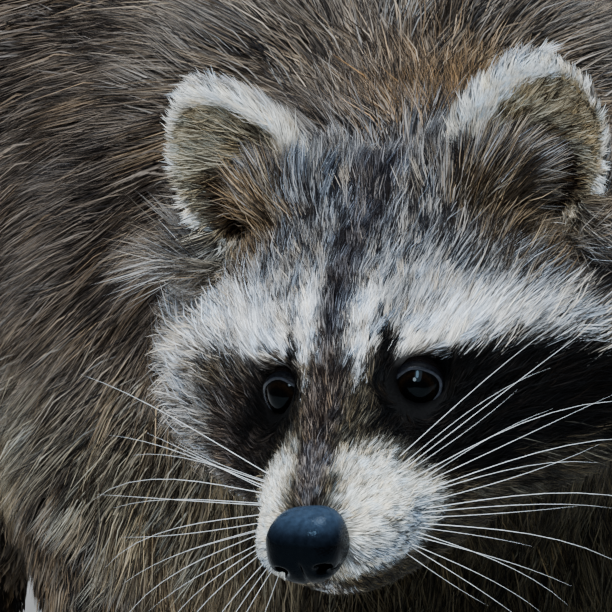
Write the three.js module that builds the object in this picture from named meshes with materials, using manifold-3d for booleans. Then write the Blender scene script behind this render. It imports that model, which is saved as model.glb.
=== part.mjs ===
// A life-size standing raccoon in its winter coat, with its head lowered and turned to its right.
// Millimetres. +Z is up, the animal faces -Y, and +X is its left side. Each solid is the outer form of the
// coat, out to the tips of the hair, and touching solids keep a thin gap.
import * as THREE from "three";
import { mergeVertices } from "three/addons/utils/BufferGeometryUtils.js";
import Module from "manifold-3d";

const wasm = await Module();
wasm.setup();

const { PI, abs, cos, hypot, sign, sin, sqrt } = Math;
const GAP = 0.3; // between touching solids
const SIDES = [
  { name: "left", s: 1 },
  { name: "right", s: -1 },
];

// ---------------------------------------------------------------- driving dimensions

// The trunk: along the body, half width, back line, belly line, height of the widest place.
const TRUNK_ENDS = [-190, 218];
const TRUNK = [
  [-190, 94, 258, 78, 164],
  [-160, 105, 268, 64, 156],
  [-110, 118, 281, 58, 150],
  [-50, 126, 295, 57, 148],
  [20, 133, 308, 60, 152],
  [80, 137, 313, 70, 162],
  [130, 131, 306, 84, 172],
  [175, 112, 280, 108, 182],
  [218, 84, 240, 140, 188],
];
const TRUNK_PEAK = 0.95; // under 1 gives a fuller section than an ellipse
const TRUNK_KEEL = 0.8;

// The head, in its own frame: origin midway between the eyes, its axis along Y, the nose at -Y.
// Along the head, half width, brow line, throat line, height of the widest place, how peaked the top is.
const HEAD_AT = [-58, -300, 184];
const HEAD_TURN = -29.8; // degrees about Z, to the animal's right
const HEAD_NOD = 15.6; // degrees, the nose down
const HEAD_TILT = -7.9; // degrees, the left ear up
const HEAD_ENDS = [-55, 106];
const HEAD = [
  [-55, 13, -15, -37, -27, 1.0],
  [-46, 18.5, -12, -41, -29, 1.05],
  [-34, 23, -5.5, -45, -30, 1.2],
  [-19, 28, 4.5, -48, -30, 1.35],
  [-6, 37, 15, -52, -27, 1.35],
  [6, 47, 24, -56, -24, 1.35],
  [22, 59, 31, -60, -20, 1.3],
  [40, 71, 36, -64, -16, 1.2],
  [58, 79, 40, -66, -13, 1.05],
  [76, 81, 42, -64, -10, 1.0],
  [106, 74, 40, -54, -6, 1.0],
];
// Swellings and hollows of the head, on both sides: place, reach, and how far the surface moves.
const HEAD_FEATURES = [
  { at: [21, -1, -1.5], reach: 13, move: [-4.2, 6, -3] }, // the eye's hollow
  { at: [29, 6, 14], reach: 12, move: [2, -3, 1.5] }, // the brow
  { at: [15, -44, -34], reach: 11, move: [3.5, -1.5, -2.5] }, // the whisker pad
  { at: [68, 60, -36], reach: 34, move: [10, -3, -7] }, // the cheek's ruff
];
const JAW_ENDS = [-48, 34];
const JAW = [
  [-48, 10, -34, -46, -40],
  [-38, 16, -36, -51, -43],
  [-15, 23, -40, -57, -46],
  [34, 36, -42, -67, -52],
];
const EYE = { x: 19.2, y: 5.1, z: -3.7, radius: 8.4 };
const NOSE = { y: -57, z: -25, half: 12, depth: 10, height: 10.6 };
const EAR = {
  at: [45, 65, 38],
  half: 24,
  above: 33,
  below: 24,
  thick: 9,
  cup: 11,
  lean: 24, // degrees outwards
  back: 8, // degrees back from upright
  outward: 8, // degrees that the opening turns to the side
};

// The neck: from inside the trunk to inside the head. Centre in the body's frame, half width, half height.
const NECK = [
  [[0, -104, 170], 100, 98],
  [[-3, -156, 181], 92, 84],
  [[-12, -204, 190], 80, 65],
  [[-28, -246, 190], 64, 50],
];

// Legs, left side: centre, half width, half length along the body. The stance is a slow walk.
const FORELEG = [
  [[72, -98, 170], 40, 50],
  [[82, -98, 118], 39, 45],
  [[85, -104, 80], 31, 35],
  [[81, -116, 48], 20, 22],
  [[79, -125, 28], 16, 17],
  [[78, -128, 14], 11, 12],
];
const HINDLEG = [
  [[70, 122, 190], 58, 66],
  [[90, 108, 140], 50, 66],
  [[99, 98, 98], 37, 52],
  [[97, 116, 66], 25, 32],
  [[92, 138, 42], 18, 21],
  [[90, 142, 28], 15.5, 17.5],
  [[90, 142, 14], 11, 13],
];
const STRIDE = { foreleg: 16, hindleg: 20 }; // how far the left leg is ahead of the right

// Paws, in their own frame: the heel at the origin, toes towards -Y, the sole at Z = 0.
const FOREPAW = { half: 17, height: 19, palm: 36, toe: 28, toeRadius: 4.8, claw: 12, splay: 34 };
const HINDPAW = { half: 18.5, height: 22, palm: 68, toe: 28, toeRadius: 5.3, claw: 11, splay: 24 };
const CLAW_RADIUS = 2.3;

// The tail: centre, radius. It hangs behind the rump and lifts again towards its tip.
const TAIL = [
  [[0, 168, 224], 33],
  [[2, 210, 206], 35],
  [[8, 254, 170], 37],
  [[18, 300, 130], 39],
  [[34, 352, 98], 39],
  [[54, 406, 82], 35],
  [[72, 448, 78], 27],
  [[81, 472, 78], 12],
];

// ---------------------------------------------------------------- shape functions

// Columns of a table as smooth functions of its first column.
function smooth(rows) {
  const at = rows.map((row) => row[0]);
  const slope = (column, i) => {
    const [before, after] = [Math.max(i - 1, 0), Math.min(i + 1, rows.length - 1)];
    return (rows[after][column] - rows[before][column]) / (at[after] - at[before]);
  };
  return (u, column) => {
    let i = 0;
    while (i < rows.length - 2 && u > at[i + 1]) i++;
    const span = at[i + 1] - at[i];
    const t = THREE.MathUtils.clamp((u - at[i]) / span, 0, 1);
    const [a, b] = [rows[i][column], rows[i + 1][column]];
    const [m, n] = [slope(column, i) * span, slope(column, i + 1) * span];
    return a + t * (m + t * (3 * (b - a) - 2 * m - n + t * (2 * (a - b) + m + n)));
  };
}

// A closed ring of points: half width to each side, rise above and drop below its widest place, and how
// peaked it is above and below (1 is an ellipse).
function ring(centre, across, up, half, rise, drop, [peak, keel], count) {
  return Array.from({ length: count }, (_, k) => {
    const angle = (2 * PI * k) / count;
    const [c, s] = [cos(angle), sin(angle)];
    const power = s > 0 ? peak : keel;
    const x = half * sign(c) * abs(c) ** power;
    const z = (s > 0 ? rise : drop) * sign(s) * abs(s) ** power;
    return new THREE.Vector3().copy(centre).addScaledVector(across, x).addScaledVector(up, z);
  });
}

// A closed body through rings of equal count, with a point at each end.
function loft(rings, first, last) {
  const count = rings[0].length;
  const points = [first, ...rings.flat(), last];
  const at = (i, k) => 1 + i * count + (k % count);
  const faces = [];
  for (let k = 0; k < count; k++) {
    faces.push(0, at(0, k), at(0, k + 1));
    for (let i = 0; i < rings.length - 1; i++) {
      faces.push(at(i, k), at(i + 1, k), at(i + 1, k + 1));
      faces.push(at(i, k), at(i + 1, k + 1), at(i, k + 1));
    }
    faces.push(points.length - 1, at(rings.length - 1, k + 1), at(rings.length - 1, k));
  }
  return new THREE.BufferGeometry().setFromPoints(points).setIndex(faces);
}

// Places along a body that crowd a little towards both ends, so that the ends come out round.
const crowded = ([start, end], count) =>
  Array.from({ length: count }, (_, i) => {
    const t = (i + 0.75) / (count + 0.5);
    return THREE.MathUtils.lerp(start, end, THREE.MathUtils.lerp(t, (1 - cos(PI * t)) / 2, 0.6));
  });

// How far an end has rounded off at a place: 0 at the end, 1 from the cap's length inwards.
const rounded = (u, [start, end], front, rear) => {
  const near = Math.min(u - start < front ? (u - start) / front : 1, end - u < rear ? (end - u) / rear : 1);
  return sqrt(1 - (1 - near) ** 2);
};

// A body along Y from a table of half widths, top lines, bottom lines and widest heights.
function bodyAlongY(table, ends, caps, counts, { grow = 0, peak = 1, keel = 1 } = {}) {
  const value = smooth(table);
  const across = new THREE.Vector3(1, 0, 0);
  const up = new THREE.Vector3(0, 0, 1);
  const reach = [ends[0] - grow, ends[1] + grow];
  const rings = crowded(reach, counts[0]).map((y) => {
    const round = rounded(y, reach, ...caps);
    const [half, top, bottom, wide] = [1, 2, 3, 4].map((column) => value(y, column));
    const powers = [table[0].length > 5 ? value(y, 5) : peak, keel];
    const centre = new THREE.Vector3(0, y, wide);
    const rise = (top - wide) * round + grow;
    return ring(centre, across, up, half * round + grow, rise, (wide - bottom) * round + grow, powers, counts[1]);
  });
  const end = (y) => new THREE.Vector3(0, y, value(y, 4));
  return loft(rings, end(reach[0]), end(reach[1]));
}

// A tube through a table of centres and half sizes. Its rings keep one side towards a given direction.
function tube(table, side, counts, { grow = 0, shift = new THREE.Vector3() } = {}) {
  const curve = new THREE.CatmullRomCurve3(table.map(([p]) => new THREE.Vector3(...p).add(shift)));
  const sizes = smooth(table.map(([, a, b = a], i) => [i / (table.length - 1), a, b]));
  const rings = Array.from({ length: counts[0] }, (_, i) => {
    const t = i / (counts[0] - 1);
    const tangent = curve.getTangent(t);
    const across = side.clone().addScaledVector(tangent, -side.dot(tangent)).normalize();
    const up = across.clone().cross(tangent);
    const [half, height] = [sizes(t, 1) + grow, sizes(t, 2) + grow];
    return ring(curve.getPoint(t), across, up, half, height, height, [1, 1], counts[1]);
  });
  return loft(rings, curve.getPoint(0), curve.getPoint(1));
}

// ---------------------------------------------------------------- cutting and joining

// A solid from a geometry, turned so that its faces point out, and moved by a matrix.
function solid(geometry, matrix = new THREE.Matrix4()) {
  const plain = geometry.clone().deleteAttribute("normal").deleteAttribute("uv").applyMatrix4(matrix);
  const merged = mergeVertices(plain, 1e-4);
  const made = () => {
    const vertProperties = new Float32Array(merged.attributes.position.array);
    return new wasm.Manifold(new wasm.Mesh({ numProp: 3, vertProperties, triVerts: new Uint32Array(merged.index.array) }));
  };
  const first = made();
  if (first.volume() > 0) return first;
  merged.index.array.reverse();
  return made();
}

function geometryOf(body) {
  const { vertProperties, triVerts } = body.getMesh();
  const geometry = new THREE.BufferGeometry();
  geometry.setAttribute("position", new THREE.BufferAttribute(vertProperties, 3)).setIndex(new THREE.BufferAttribute(triVerts, 1));
  geometry.computeVertexNormals();
  return geometry;
}

function mesh(name, body, finish) {
  const made = new THREE.Mesh(body.isBufferGeometry ? body : geometryOf(body), finish);
  made.name = name;
  return made;
}

// The main body of a cut solid, without the slivers that a cut can leave.
const mainBody = (body) => body.decompose().sort((a, b) => b.volume() - a.volume())[0];

const moved = (...p) => new THREE.Matrix4().makeTranslation(...p);
const box = (size, centre) => solid(new THREE.BoxGeometry(...size), moved(...centre));

// ---------------------------------------------------------------- finishes

const fur = new THREE.MeshStandardMaterial({ name: "fur", color: 0x6f655a, roughness: 0.85, metalness: 0 });
const paleFur = new THREE.MeshStandardMaterial({ name: "pale_fur", color: 0xcfc9bb, roughness: 0.85, metalness: 0 });
const ringedFur = new THREE.MeshStandardMaterial({ name: "ringed_fur", color: 0x5a5046, roughness: 0.85, metalness: 0 });
const hide = new THREE.MeshStandardMaterial({ name: "hide", color: 0x3a332d, roughness: 0.7, metalness: 0 });
const wetSkin = new THREE.MeshStandardMaterial({ name: "wet_skin", color: 0x0b0b0d, roughness: 0.25, metalness: 0 });
const cornea = new THREE.MeshStandardMaterial({ name: "cornea", color: 0x0a0706, roughness: 0.05, metalness: 0 });
const horn = new THREE.MeshStandardMaterial({ name: "horn", color: 0x1d1815, roughness: 0.4, metalness: 0 });

// ---------------------------------------------------------------- head

const headTurn = new THREE.Euler(...[HEAD_NOD, HEAD_TILT, HEAD_TURN].map(THREE.MathUtils.degToRad), "ZXY");
const headPlace = new THREE.Matrix4().makeRotationFromEuler(headTurn).setPosition(...HEAD_AT);

function headBody(grow) {
  const shape = bodyAlongY(HEAD, HEAD_ENDS, [13, 44], [25, 26], { grow });
  const place = shape.attributes.position;
  for (let i = 0; i < place.count; i++) {
    const point = new THREE.Vector3().fromBufferAttribute(place, i);
    for (const { at, reach, move } of HEAD_FEATURES)
      for (const { s } of SIDES) {
        const strength = Math.exp(-(((hypot(point.x - s * at[0], point.y - at[1], point.z - at[2])) / reach) ** 2));
        place.setXYZ(
          i,
          place.getX(i) + s * move[0] * strength,
          place.getY(i) + move[1] * strength,
          place.getZ(i) + move[2] * strength,
        );
      }
  }
  return shape;
}
const eyeball = (s, radius) =>
  solid(new THREE.SphereGeometry(radius, 12, 8), moved(s * EYE.x, EYE.y, EYE.z));

// The nose pad: broader above than below, with a comma-shaped nostril cut in each side.
function nosePad(grow) {
  const pad = new THREE.SphereGeometry(1, 14, 10);
  const place = pad.attributes.position;
  for (let i = 0; i < place.count; i++) {
    const [x, y, z] = [place.getX(i), place.getY(i), place.getZ(i)];
    const half = (NOSE.half + grow) * (1 + 0.12 * z);
    place.setXYZ(i, x * half, y * (NOSE.depth + grow), z * (NOSE.height + grow) * (1 - 0.06 * x * x));
  }
  return solid(pad, moved(0, NOSE.y, NOSE.z));
}

function nostril(s) {
  const hole = new THREE.SphereGeometry(1, 8, 6).scale(2.1, 5, 3);
  hole.rotateZ(s * 0.7).rotateY(-s * 0.3);
  return solid(hole, moved(s * 6.4, NOSE.y - 8.2, NOSE.z + 0.8));
}

// An ear: a dished disc whose rim is round, wider at its foot than at its tip.
function earBody(s, grow) {
  const [ringCount, around] = [4, 14];
  const layer = (front) =>
    Array.from({ length: ringCount }, (_, i) =>
      Array.from({ length: around }, (_, k) => {
        const r = (i + 1) / ringCount;
        const angle = (2 * PI * k) / around;
        const [c, h] = [cos(angle), sin(angle)];
        const narrowing = 1 - 0.16 * Math.max(h, 0) ** 2;
        const x = s * (EAR.half + grow) * c * narrowing * r;
        const z = ((h > 0 ? EAR.above : EAR.below) + grow) * h * r;
        const thick = (EAR.thick + 2 * grow) * sqrt(1 - 0.96 * r ** 6);
        return new THREE.Vector3(x, EAR.cup * (1 - r * r) + (front ? -thick : thick) / 2, z);
      }),
    );
  const centre = (front) => new THREE.Vector3(0, EAR.cup + ((front ? -1 : 1) * (EAR.thick + 2 * grow)) / 2, 0);
  const rings = [...layer(true), ...layer(false).reverse()];
  const { degToRad } = THREE.MathUtils;
  const turn = new THREE.Euler(-degToRad(EAR.back), degToRad(s * EAR.lean), degToRad(s * EAR.outward), "YXZ");
  const place = new THREE.Matrix4().makeRotationFromEuler(turn).setPosition(s * EAR.at[0], EAR.at[1], EAR.at[2]);
  return solid(loft(rings, centre(true), centre(false)), place);
}

const headGroup = new THREE.Group();
headGroup.position.set(...HEAD_AT);
headGroup.rotation.copy(headTurn);

const headGrown = solid(headBody(GAP));
let head = solid(headBody(0)).subtract(nosePad(GAP));
for (const { name, s } of SIDES) {
  head = head.subtract(eyeball(s, EYE.radius + GAP));
  headGroup.add(mesh(`eye_${name}`, eyeball(s, EYE.radius), cornea));
  headGroup.add(mesh(`ear_${name}`, earBody(s, 0).subtract(headGrown), fur));
}
headGroup.add(mesh("head", head, fur));
headGroup.add(mesh("nose", nosePad(0).subtract(nostril(1)).subtract(nostril(-1)), wetSkin));
const jaw = solid(bodyAlongY(JAW, JAW_ENDS, [12, 20], [7, 11]));
headGroup.add(mesh("lower_jaw", jaw.subtract(headGrown).subtract(nosePad(GAP)), paleFur));

// ---------------------------------------------------------------- trunk, neck and tail

const trunkBody = (grow) =>
  solid(bodyAlongY(TRUNK, TRUNK_ENDS, [84, 70], [18, 24], { grow, peak: TRUNK_PEAK, keel: TRUNK_KEEL }));
const trunkGrown = trunkBody(GAP);
const headInPlace = [headBody(GAP), bodyAlongY(JAW, JAW_ENDS, [12, 20], [7, 11], { grow: GAP })].map((shape) =>
  solid(shape, headPlace),
);
const earsInPlace = SIDES.map(({ s }) => earBody(s, GAP).transform(headPlace.elements));

const SIDEWAYS = new THREE.Vector3(1, 0, 0);
let neck = solid(tube(NECK, SIDEWAYS, [5, 20])).subtract(trunkGrown);
for (const part of [...headInPlace, ...earsInPlace]) neck = neck.subtract(part);

const tail = solid(tube(TAIL, SIDEWAYS, [14, 12])).subtract(trunkGrown);

// ---------------------------------------------------------------- legs and paws

// One toe: a short round finger that rises to a knuckle, and its curved claw.
function toeParts(paw, place) {
  const fan = THREE.MathUtils.degToRad((place - 2) * (paw.splay / 4));
  const shorter = abs(place - 2) * 2.6;
  const root = [(place - 2) * paw.half * 0.44, -paw.palm + 6, paw.toeRadius + 1];
  const reach = paw.toe - shorter;
  const point = (along, height) => [root[0] + sin(fan) * along, root[1] - cos(fan) * along, height];
  const toe = (grow) =>
    tube(
      [
        [point(0, root[2] + 1), paw.toeRadius],
        [point(reach * 0.5, root[2] + 1.6), paw.toeRadius],
        [point(reach * 0.85, paw.toeRadius - 0.6), paw.toeRadius],
        [point(reach, paw.toeRadius - 0.4), paw.toeRadius * 0.7],
      ],
      SIDEWAYS,
      [4, 5],
      { grow },
    );
  const claw = tube(
    [
      [point(reach + GAP, paw.toeRadius), CLAW_RADIUS],
      [point(reach + paw.claw * 0.5, paw.toeRadius + 0.2), CLAW_RADIUS * 0.75],
      [point(reach + paw.claw, paw.toeRadius - 3.2), CLAW_RADIUS * 0.16],
    ],
    SIDEWAYS,
    [3, 5],
  );
  return { toe, claw };
}

// A paw: a long low pad with five toes, cut flat where it stands. The claws stay apart.
function pawParts(paw, place) {
  const toes = Array.from({ length: 5 }, (_, i) => toeParts(paw, i));
  const foot = (grow) => {
    const palm = new THREE.SphereGeometry(1, 10, 7);
    palm.scale(paw.half + grow, paw.palm / 2 + 6 + grow, paw.height + grow);
    const pad = solid(palm, moved(0, -paw.palm / 2 + 6, 3));
    return toes.reduce((whole, { toe }) => whole.add(solid(toe(grow))), pad).transform(place.elements);
  };
  const flat = foot(0).subtract(box([900, 1400, 60], [0, 0, -30]));
  const claws = toes.map(({ claw }) => solid(claw, place));
  return { flat, claws, grown: foot(GAP) };
}

const body = new THREE.Group();
body.add(mesh("trunk", trunkBody(0), fur));
body.add(mesh("neck", mainBody(neck), fur));
body.add(mesh("tail", mainBody(tail), ringedFur));
body.add(headGroup);

const LIMBS = [
  { name: "fore", table: FORELEG, paw: FOREPAW, stride: STRIDE.foreleg, turn: 6 },
  { name: "hind", table: HINDLEG, paw: HINDPAW, stride: -STRIDE.hindleg, turn: 10 },
];
for (const { name: side, s } of SIDES) {
  for (const { name, table, paw, stride, turn } of LIMBS) {
    const step = (-s * stride) / 2;
    // The step grows from nothing at the shoulder or hip to its full length at the paw.
    const stepped = table.map(([[x, y, z], a, b], i) => [[s * x, y + (step * i) / (table.length - 1), z], a, b]);
    const [ankleX, ankleY] = stepped.at(-1)[0];
    const heel = name === "fore" ? 10 : 14;
    const place = moved(ankleX, ankleY + heel, 0).multiply(
      new THREE.Matrix4().makeRotationZ(THREE.MathUtils.degToRad(s * turn)),
    );
    const { flat, claws, grown } = pawParts(paw, place);
    const leg = solid(tube(stepped, SIDEWAYS, [9, 12])).subtract(trunkGrown).subtract(grown);
    body.add(mesh(`${name}leg_${side}`, mainBody(leg), fur));
    body.add(mesh(`${name}paw_${side}`, flat, hide));
    claws.forEach((claw, i) => body.add(mesh(`claw_${name}_${side}_${i + 1}`, claw, horn)));
  }
}

// The part's origin is the middle of its footprint, on the floor.
const bounds = new THREE.Box3().setFromObject(body, true);
const middle = bounds.getCenter(new THREE.Vector3());
body.position.set(-middle.x, -middle.y, -bounds.min.z);

export default body;
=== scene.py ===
import math

import bmesh
import bpy
import numpy as np
from mathutils import Matrix, Vector
from mathutils.bvhtree import BVHTree
from mathutils.kdtree import KDTree


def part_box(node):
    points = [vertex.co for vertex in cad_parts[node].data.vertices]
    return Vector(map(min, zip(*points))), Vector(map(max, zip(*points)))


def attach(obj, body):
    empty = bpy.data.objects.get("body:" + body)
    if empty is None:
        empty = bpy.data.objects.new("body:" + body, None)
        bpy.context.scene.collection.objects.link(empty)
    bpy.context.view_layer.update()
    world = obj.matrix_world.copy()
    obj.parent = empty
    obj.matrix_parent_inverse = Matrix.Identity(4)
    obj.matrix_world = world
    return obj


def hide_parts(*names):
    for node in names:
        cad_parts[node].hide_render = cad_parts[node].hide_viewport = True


# The raccoon is set out in millimetres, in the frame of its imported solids.
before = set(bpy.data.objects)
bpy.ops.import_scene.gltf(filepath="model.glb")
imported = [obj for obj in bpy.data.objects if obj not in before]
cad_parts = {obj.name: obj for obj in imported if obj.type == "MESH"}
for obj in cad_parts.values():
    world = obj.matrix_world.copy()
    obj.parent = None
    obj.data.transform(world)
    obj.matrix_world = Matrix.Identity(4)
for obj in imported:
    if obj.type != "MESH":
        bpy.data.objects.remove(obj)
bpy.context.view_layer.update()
MM = 0.001


def unit(v):
    v = np.asarray(v, float)
    return v / np.maximum(np.linalg.norm(v, axis=-1, keepdims=True), 1e-9)


def middle_of(node):
    low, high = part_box(node)
    return np.array((low + high) / 2) / MM


# ---------------------------------------------------------------------------
# The head's own axes. X runs to the animal's left ear, Y to the back of the
# skull and Z to the crown, from a point on the bridge between the eyes.
EYE_AT = (19.2, 5.1, -3.7)
NOSE_DROP = 21.3
NOSE_AHEAD = 62.1

eye_middle = (middle_of("eye_left") + middle_of("eye_right")) / 2
head_x = unit(middle_of("eye_left") - middle_of("eye_right"))
to_nose = middle_of("nose") - eye_middle
to_nose = unit(to_nose - head_x * (to_nose @ head_x))
nose_slope = math.atan2(NOSE_DROP, NOSE_AHEAD)
head_y = -(math.cos(nose_slope) * to_nose + math.sin(nose_slope) * np.cross(head_x, -to_nose))
head_z = np.cross(head_x, head_y)
HEAD_AXES = np.array([head_x, head_y, head_z])
HEAD_ORIGIN = eye_middle - EYE_AT[1] * head_y - EYE_AT[2] * head_z


def in_head(points):
    return (np.asarray(points, float) - HEAD_ORIGIN) @ HEAD_AXES.T


def from_head(points):
    return HEAD_ORIGIN + np.asarray(points, float) @ HEAD_AXES


# ---------------------------------------------------------------------------
# The stand for a portrait: a long lens a little above the level of the eyes,
# and soft lights in front, above and behind.
CAMERA_AZIMUTH = -12
CAMERA_ELEVATION = 10
CAMERA_DISTANCE = 2400
VIEW_WIDTH = 177.4
VIEW_SHIFT = (-11.9, 22.2)
CLIP = (0.1, 60)
CHEST = (-0.03, -0.3, 0.18)
RUMP = (0, 0.1, 0.15)
ROOM_COLOUR = (0.72, 0.78, 0.86)
ROOM_STRENGTH = 0.20


def in_scene(name, data):
    """A new object of the scene, unmoved and unturned."""
    made = bpy.data.objects.new(name, data)
    bpy.context.scene.collection.objects.link(made)
    return made


azimuth, elevation = math.radians(CAMERA_AZIMUTH), math.radians(CAMERA_ELEVATION)
view_back = np.array(
    [math.sin(azimuth) * math.cos(elevation), -math.cos(azimuth) * math.cos(elevation), math.sin(elevation)]
)
view_right = np.array([math.cos(azimuth), math.sin(azimuth), 0])
view_up = np.cross(view_back, view_right)
looked_at = HEAD_ORIGIN + VIEW_SHIFT[0] * view_right + VIEW_SHIFT[1] * view_up
camera_at = looked_at + view_back * CAMERA_DISTANCE

camera = in_scene("portrait_camera", bpy.data.cameras.new("portrait_camera"))
camera.data.lens = camera.data.sensor_width * CAMERA_DISTANCE / VIEW_WIDTH
camera.data.clip_start, camera.data.clip_end = CLIP
camera.location = camera_at * MM
camera.rotation_euler = Vector(view_back).to_track_quat("Z", "Y").to_euler()
bpy.context.scene.camera = camera

for name, place, aim, size, power, colour in (
    ("window_light", (-0.95, -2.2, 2.0), CHEST, 0.8, 112, (0.94, 0.97, 1.0)),
    ("sky_light", (-0.1, -2.0, 2.0), CHEST, 1.5, 36, (0.62, 0.82, 1.0)),
    ("high_window", (-0.26, -2.0, 2.5), CHEST, 0.6, 44, (0.62, 0.82, 1.0)),
    ("top_light", (0.45, 0.1, 2.2), CHEST, 1.3, 68, (0.88, 0.94, 1.0)),
    ("back_light", (1.2, 2.2, 1.6), RUMP, 1.2, 44, (1.0, 0.98, 0.95)),
):
    light = bpy.data.lights.new(name, "AREA")
    light.shape, light.size, light.energy, light.color = "DISK", size, power, colour
    lamp = in_scene(name, light)
    lamp.location = Vector(place)
    lamp.rotation_euler = (Vector(place) - Vector(aim)).to_track_quat("Z", "Y").to_euler()
    lamp.visible_camera = False

world = bpy.data.worlds.new("pale_room")
world.use_nodes = True
world.node_tree.nodes["Background"].inputs["Color"].default_value = (*ROOM_COLOUR, 1)
world.node_tree.nodes["Background"].inputs["Strength"].default_value = ROOM_STRENGTH
bpy.context.scene.world = world

# ---------------------------------------------------------------------------
# The floor under the animal: one large pale board, matt, with a faint cloud in
# its paint. It isn't part of the model.
FLOOR_HALF = 30
FLOOR_DROP = 0.0005


class Finish:
    """A material whose colours, gloss and relief come from patterns fixed to the piece."""

    def __init__(self, name):
        self.material = bpy.data.materials.new(name)
        self.material.use_nodes = True
        self.tree = self.material.node_tree
        self.place = self.node("TexCoord").outputs["Object"]

    def fill(self, node, settings):
        """Sets a node's own properties and its sockets. A socket given as a value is linked."""
        for key, value in settings.items():
            if hasattr(node, key):
                setattr(node, key, value)
                continue
            socket = node.inputs[key.replace("_", " ")]
            if isinstance(value, bpy.types.NodeSocket):
                self.tree.links.new(value, socket)
            else:
                socket.default_value = value
        return node

    def node(self, kind, **settings):
        return self.fill(self.tree.nodes.new("ShaderNode" + kind), settings)

    def noise(self, scale, detail):
        return self.node("TexNoise", Scale=scale, Detail=detail, Vector=self.place).outputs["Fac"]

    def stretch(self, noise, low, high):
        """The middle values of a noise, stretched over a range."""
        made = self.node("MapRange", From_Min=0.3, From_Max=0.7, To_Min=low, To_Max=high, Value=noise)
        return made.outputs["Result"]

    def ramp(self, value, *stops):
        made = self.node("ValToRGB", Fac=value)
        elements = made.color_ramp.elements
        while len(elements) < len(stops):
            elements.new(0.5)
        for element, (place, colour) in zip(elements, stops):
            element.position = place
            element.color = (*colour, 1)
        return made.outputs["Color"]

    def scaled(self, colour, factor):
        return self.node("VectorMath", operation="SCALE", Vector=colour, Scale=factor).outputs["Vector"]

    def bump(self, height, strength, depth):
        return self.node("Bump", Strength=strength, Distance=depth, Height=height).outputs["Normal"]

    def shade(self, **settings):
        self.fill(self.tree.nodes["Principled BSDF"], settings)


board = Finish("pale_floor")
cloud = board.noise(9.0, 5.0)
board.shade(
    Base_Color=board.ramp(cloud, (0.3, (0.60, 0.60, 0.59)), (0.7, (0.66, 0.66, 0.65))),
    Roughness=0.8,
)
floor_mesh = bpy.data.meshes.new("floor")
corners = [(x * FLOOR_HALF, y * FLOOR_HALF, -FLOOR_DROP) for x, y in ((-1, -1), (1, -1), (1, 1), (-1, 1))]
floor_mesh.from_pydata(corners, [], [(0, 1, 2, 3)])
floor_mesh.materials.append(board.material)
in_scene("floor", floor_mesh)

# ---------------------------------------------------------------------------
# The skin: one closed hide over the whole animal, from the lips to the tip of
# the tail. It is drawn over the body's form and lies the coat's depth below
# the tips of the hair.
SKIN_GRAIN = 2.8
SEAM_OVERLAP = 0.5
RELAXING = 28
SOLE_LIFT = 0.4
LIMBS = ("foreleg", "forepaw", "hindleg", "hindpaw")
FLESH = ["trunk", "neck", "head", "lower_jaw", "ear_left", "ear_right", "tail"]
FLESH += [f"{limb}_{side}" for limb in LIMBS for side in ("left", "right")]


def merged_copy(node):
    """A CAD node's solid as welded corners in millimetres, its outward normals and its triangles."""
    solid = bmesh.new()
    solid.from_mesh(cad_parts[node].data)
    bmesh.ops.remove_doubles(solid, verts=solid.verts, dist=1e-6)
    bmesh.ops.triangulate(solid, faces=solid.faces)
    solid.normal_update()
    solid.verts.index_update()
    corners = np.array([v.co for v in solid.verts]) / MM
    normals = np.array([v.normal for v in solid.verts])
    faces = [[v.index for v in f.verts] for f in solid.faces]
    solid.free()
    return corners, normals, faces


def finished_mesh(made):
    """The mesh that an object's modifiers leave. The object itself goes."""
    mesh = bpy.data.meshes.new_from_object(made.evaluated_get(bpy.context.evaluated_depsgraph_get()))
    bpy.data.objects.remove(made)
    return mesh


flesh = [merged_copy(name) for name in FLESH]
joined_corners, joined_faces, count = [], [], 0
for corners, normals, faces in flesh:
    joined_corners.append(corners + normals * SEAM_OVERLAP)
    joined_faces += [[i + count for i in f] for f in faces]
    count += len(corners)
rough = bpy.data.meshes.new("rough_hide")
rough.from_pydata(np.concatenate(joined_corners) * MM, [], joined_faces)
rough_hide = in_scene("rough_hide", rough)
remesh = rough_hide.modifiers.new("one_hide", "REMESH")
remesh.mode, remesh.voxel_size, remesh.use_smooth_shade = "VOXEL", SKIN_GRAIN * MM, True
skin_mesh = finished_mesh(rough_hide)


def numbers(collection, key, width, kind=np.float32):
    values = np.zeros(len(collection) * width, kind)
    collection.foreach_get(key, values)
    return values.reshape(-1, width)


skin_at = numbers(skin_mesh.vertices, "co", 3).astype(float) / MM
skin_edges = numbers(skin_mesh.edges, "vertices", 2, np.int32)
skin_mesh.calc_loop_triangles()
skin_tris = numbers(skin_mesh.loop_triangles, "vertices", 3, np.int32)
skin_size = len(skin_at)
neighbours = np.maximum(np.bincount(skin_edges.ravel(), minlength=skin_size), 1)


def spread(values, rounds, pull=0.5):
    """Values on the skin, each drawn towards the mean of its neighbours."""
    values = np.array(values, float)
    flat = values.reshape(skin_size, -1)
    pull = np.broadcast_to(np.asarray(pull, float), (skin_size,))[:, None]
    a, b = skin_edges.T
    for _ in range(rounds):
        total = [np.bincount(a, v[b], skin_size) + np.bincount(b, v[a], skin_size) for v in flat.T]
        flat = flat + (np.stack(total, 1) / neighbours[:, None] - flat) * pull
    return flat.reshape(values.shape)


def outward(points):
    a, b, c = (points[skin_tris[:, k]] for k in range(3))
    face = np.cross(b - a, c - a)
    return unit(np.stack([sum(np.bincount(t, f, skin_size) for t in skin_tris.T) for f in face.T], 1))


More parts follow.
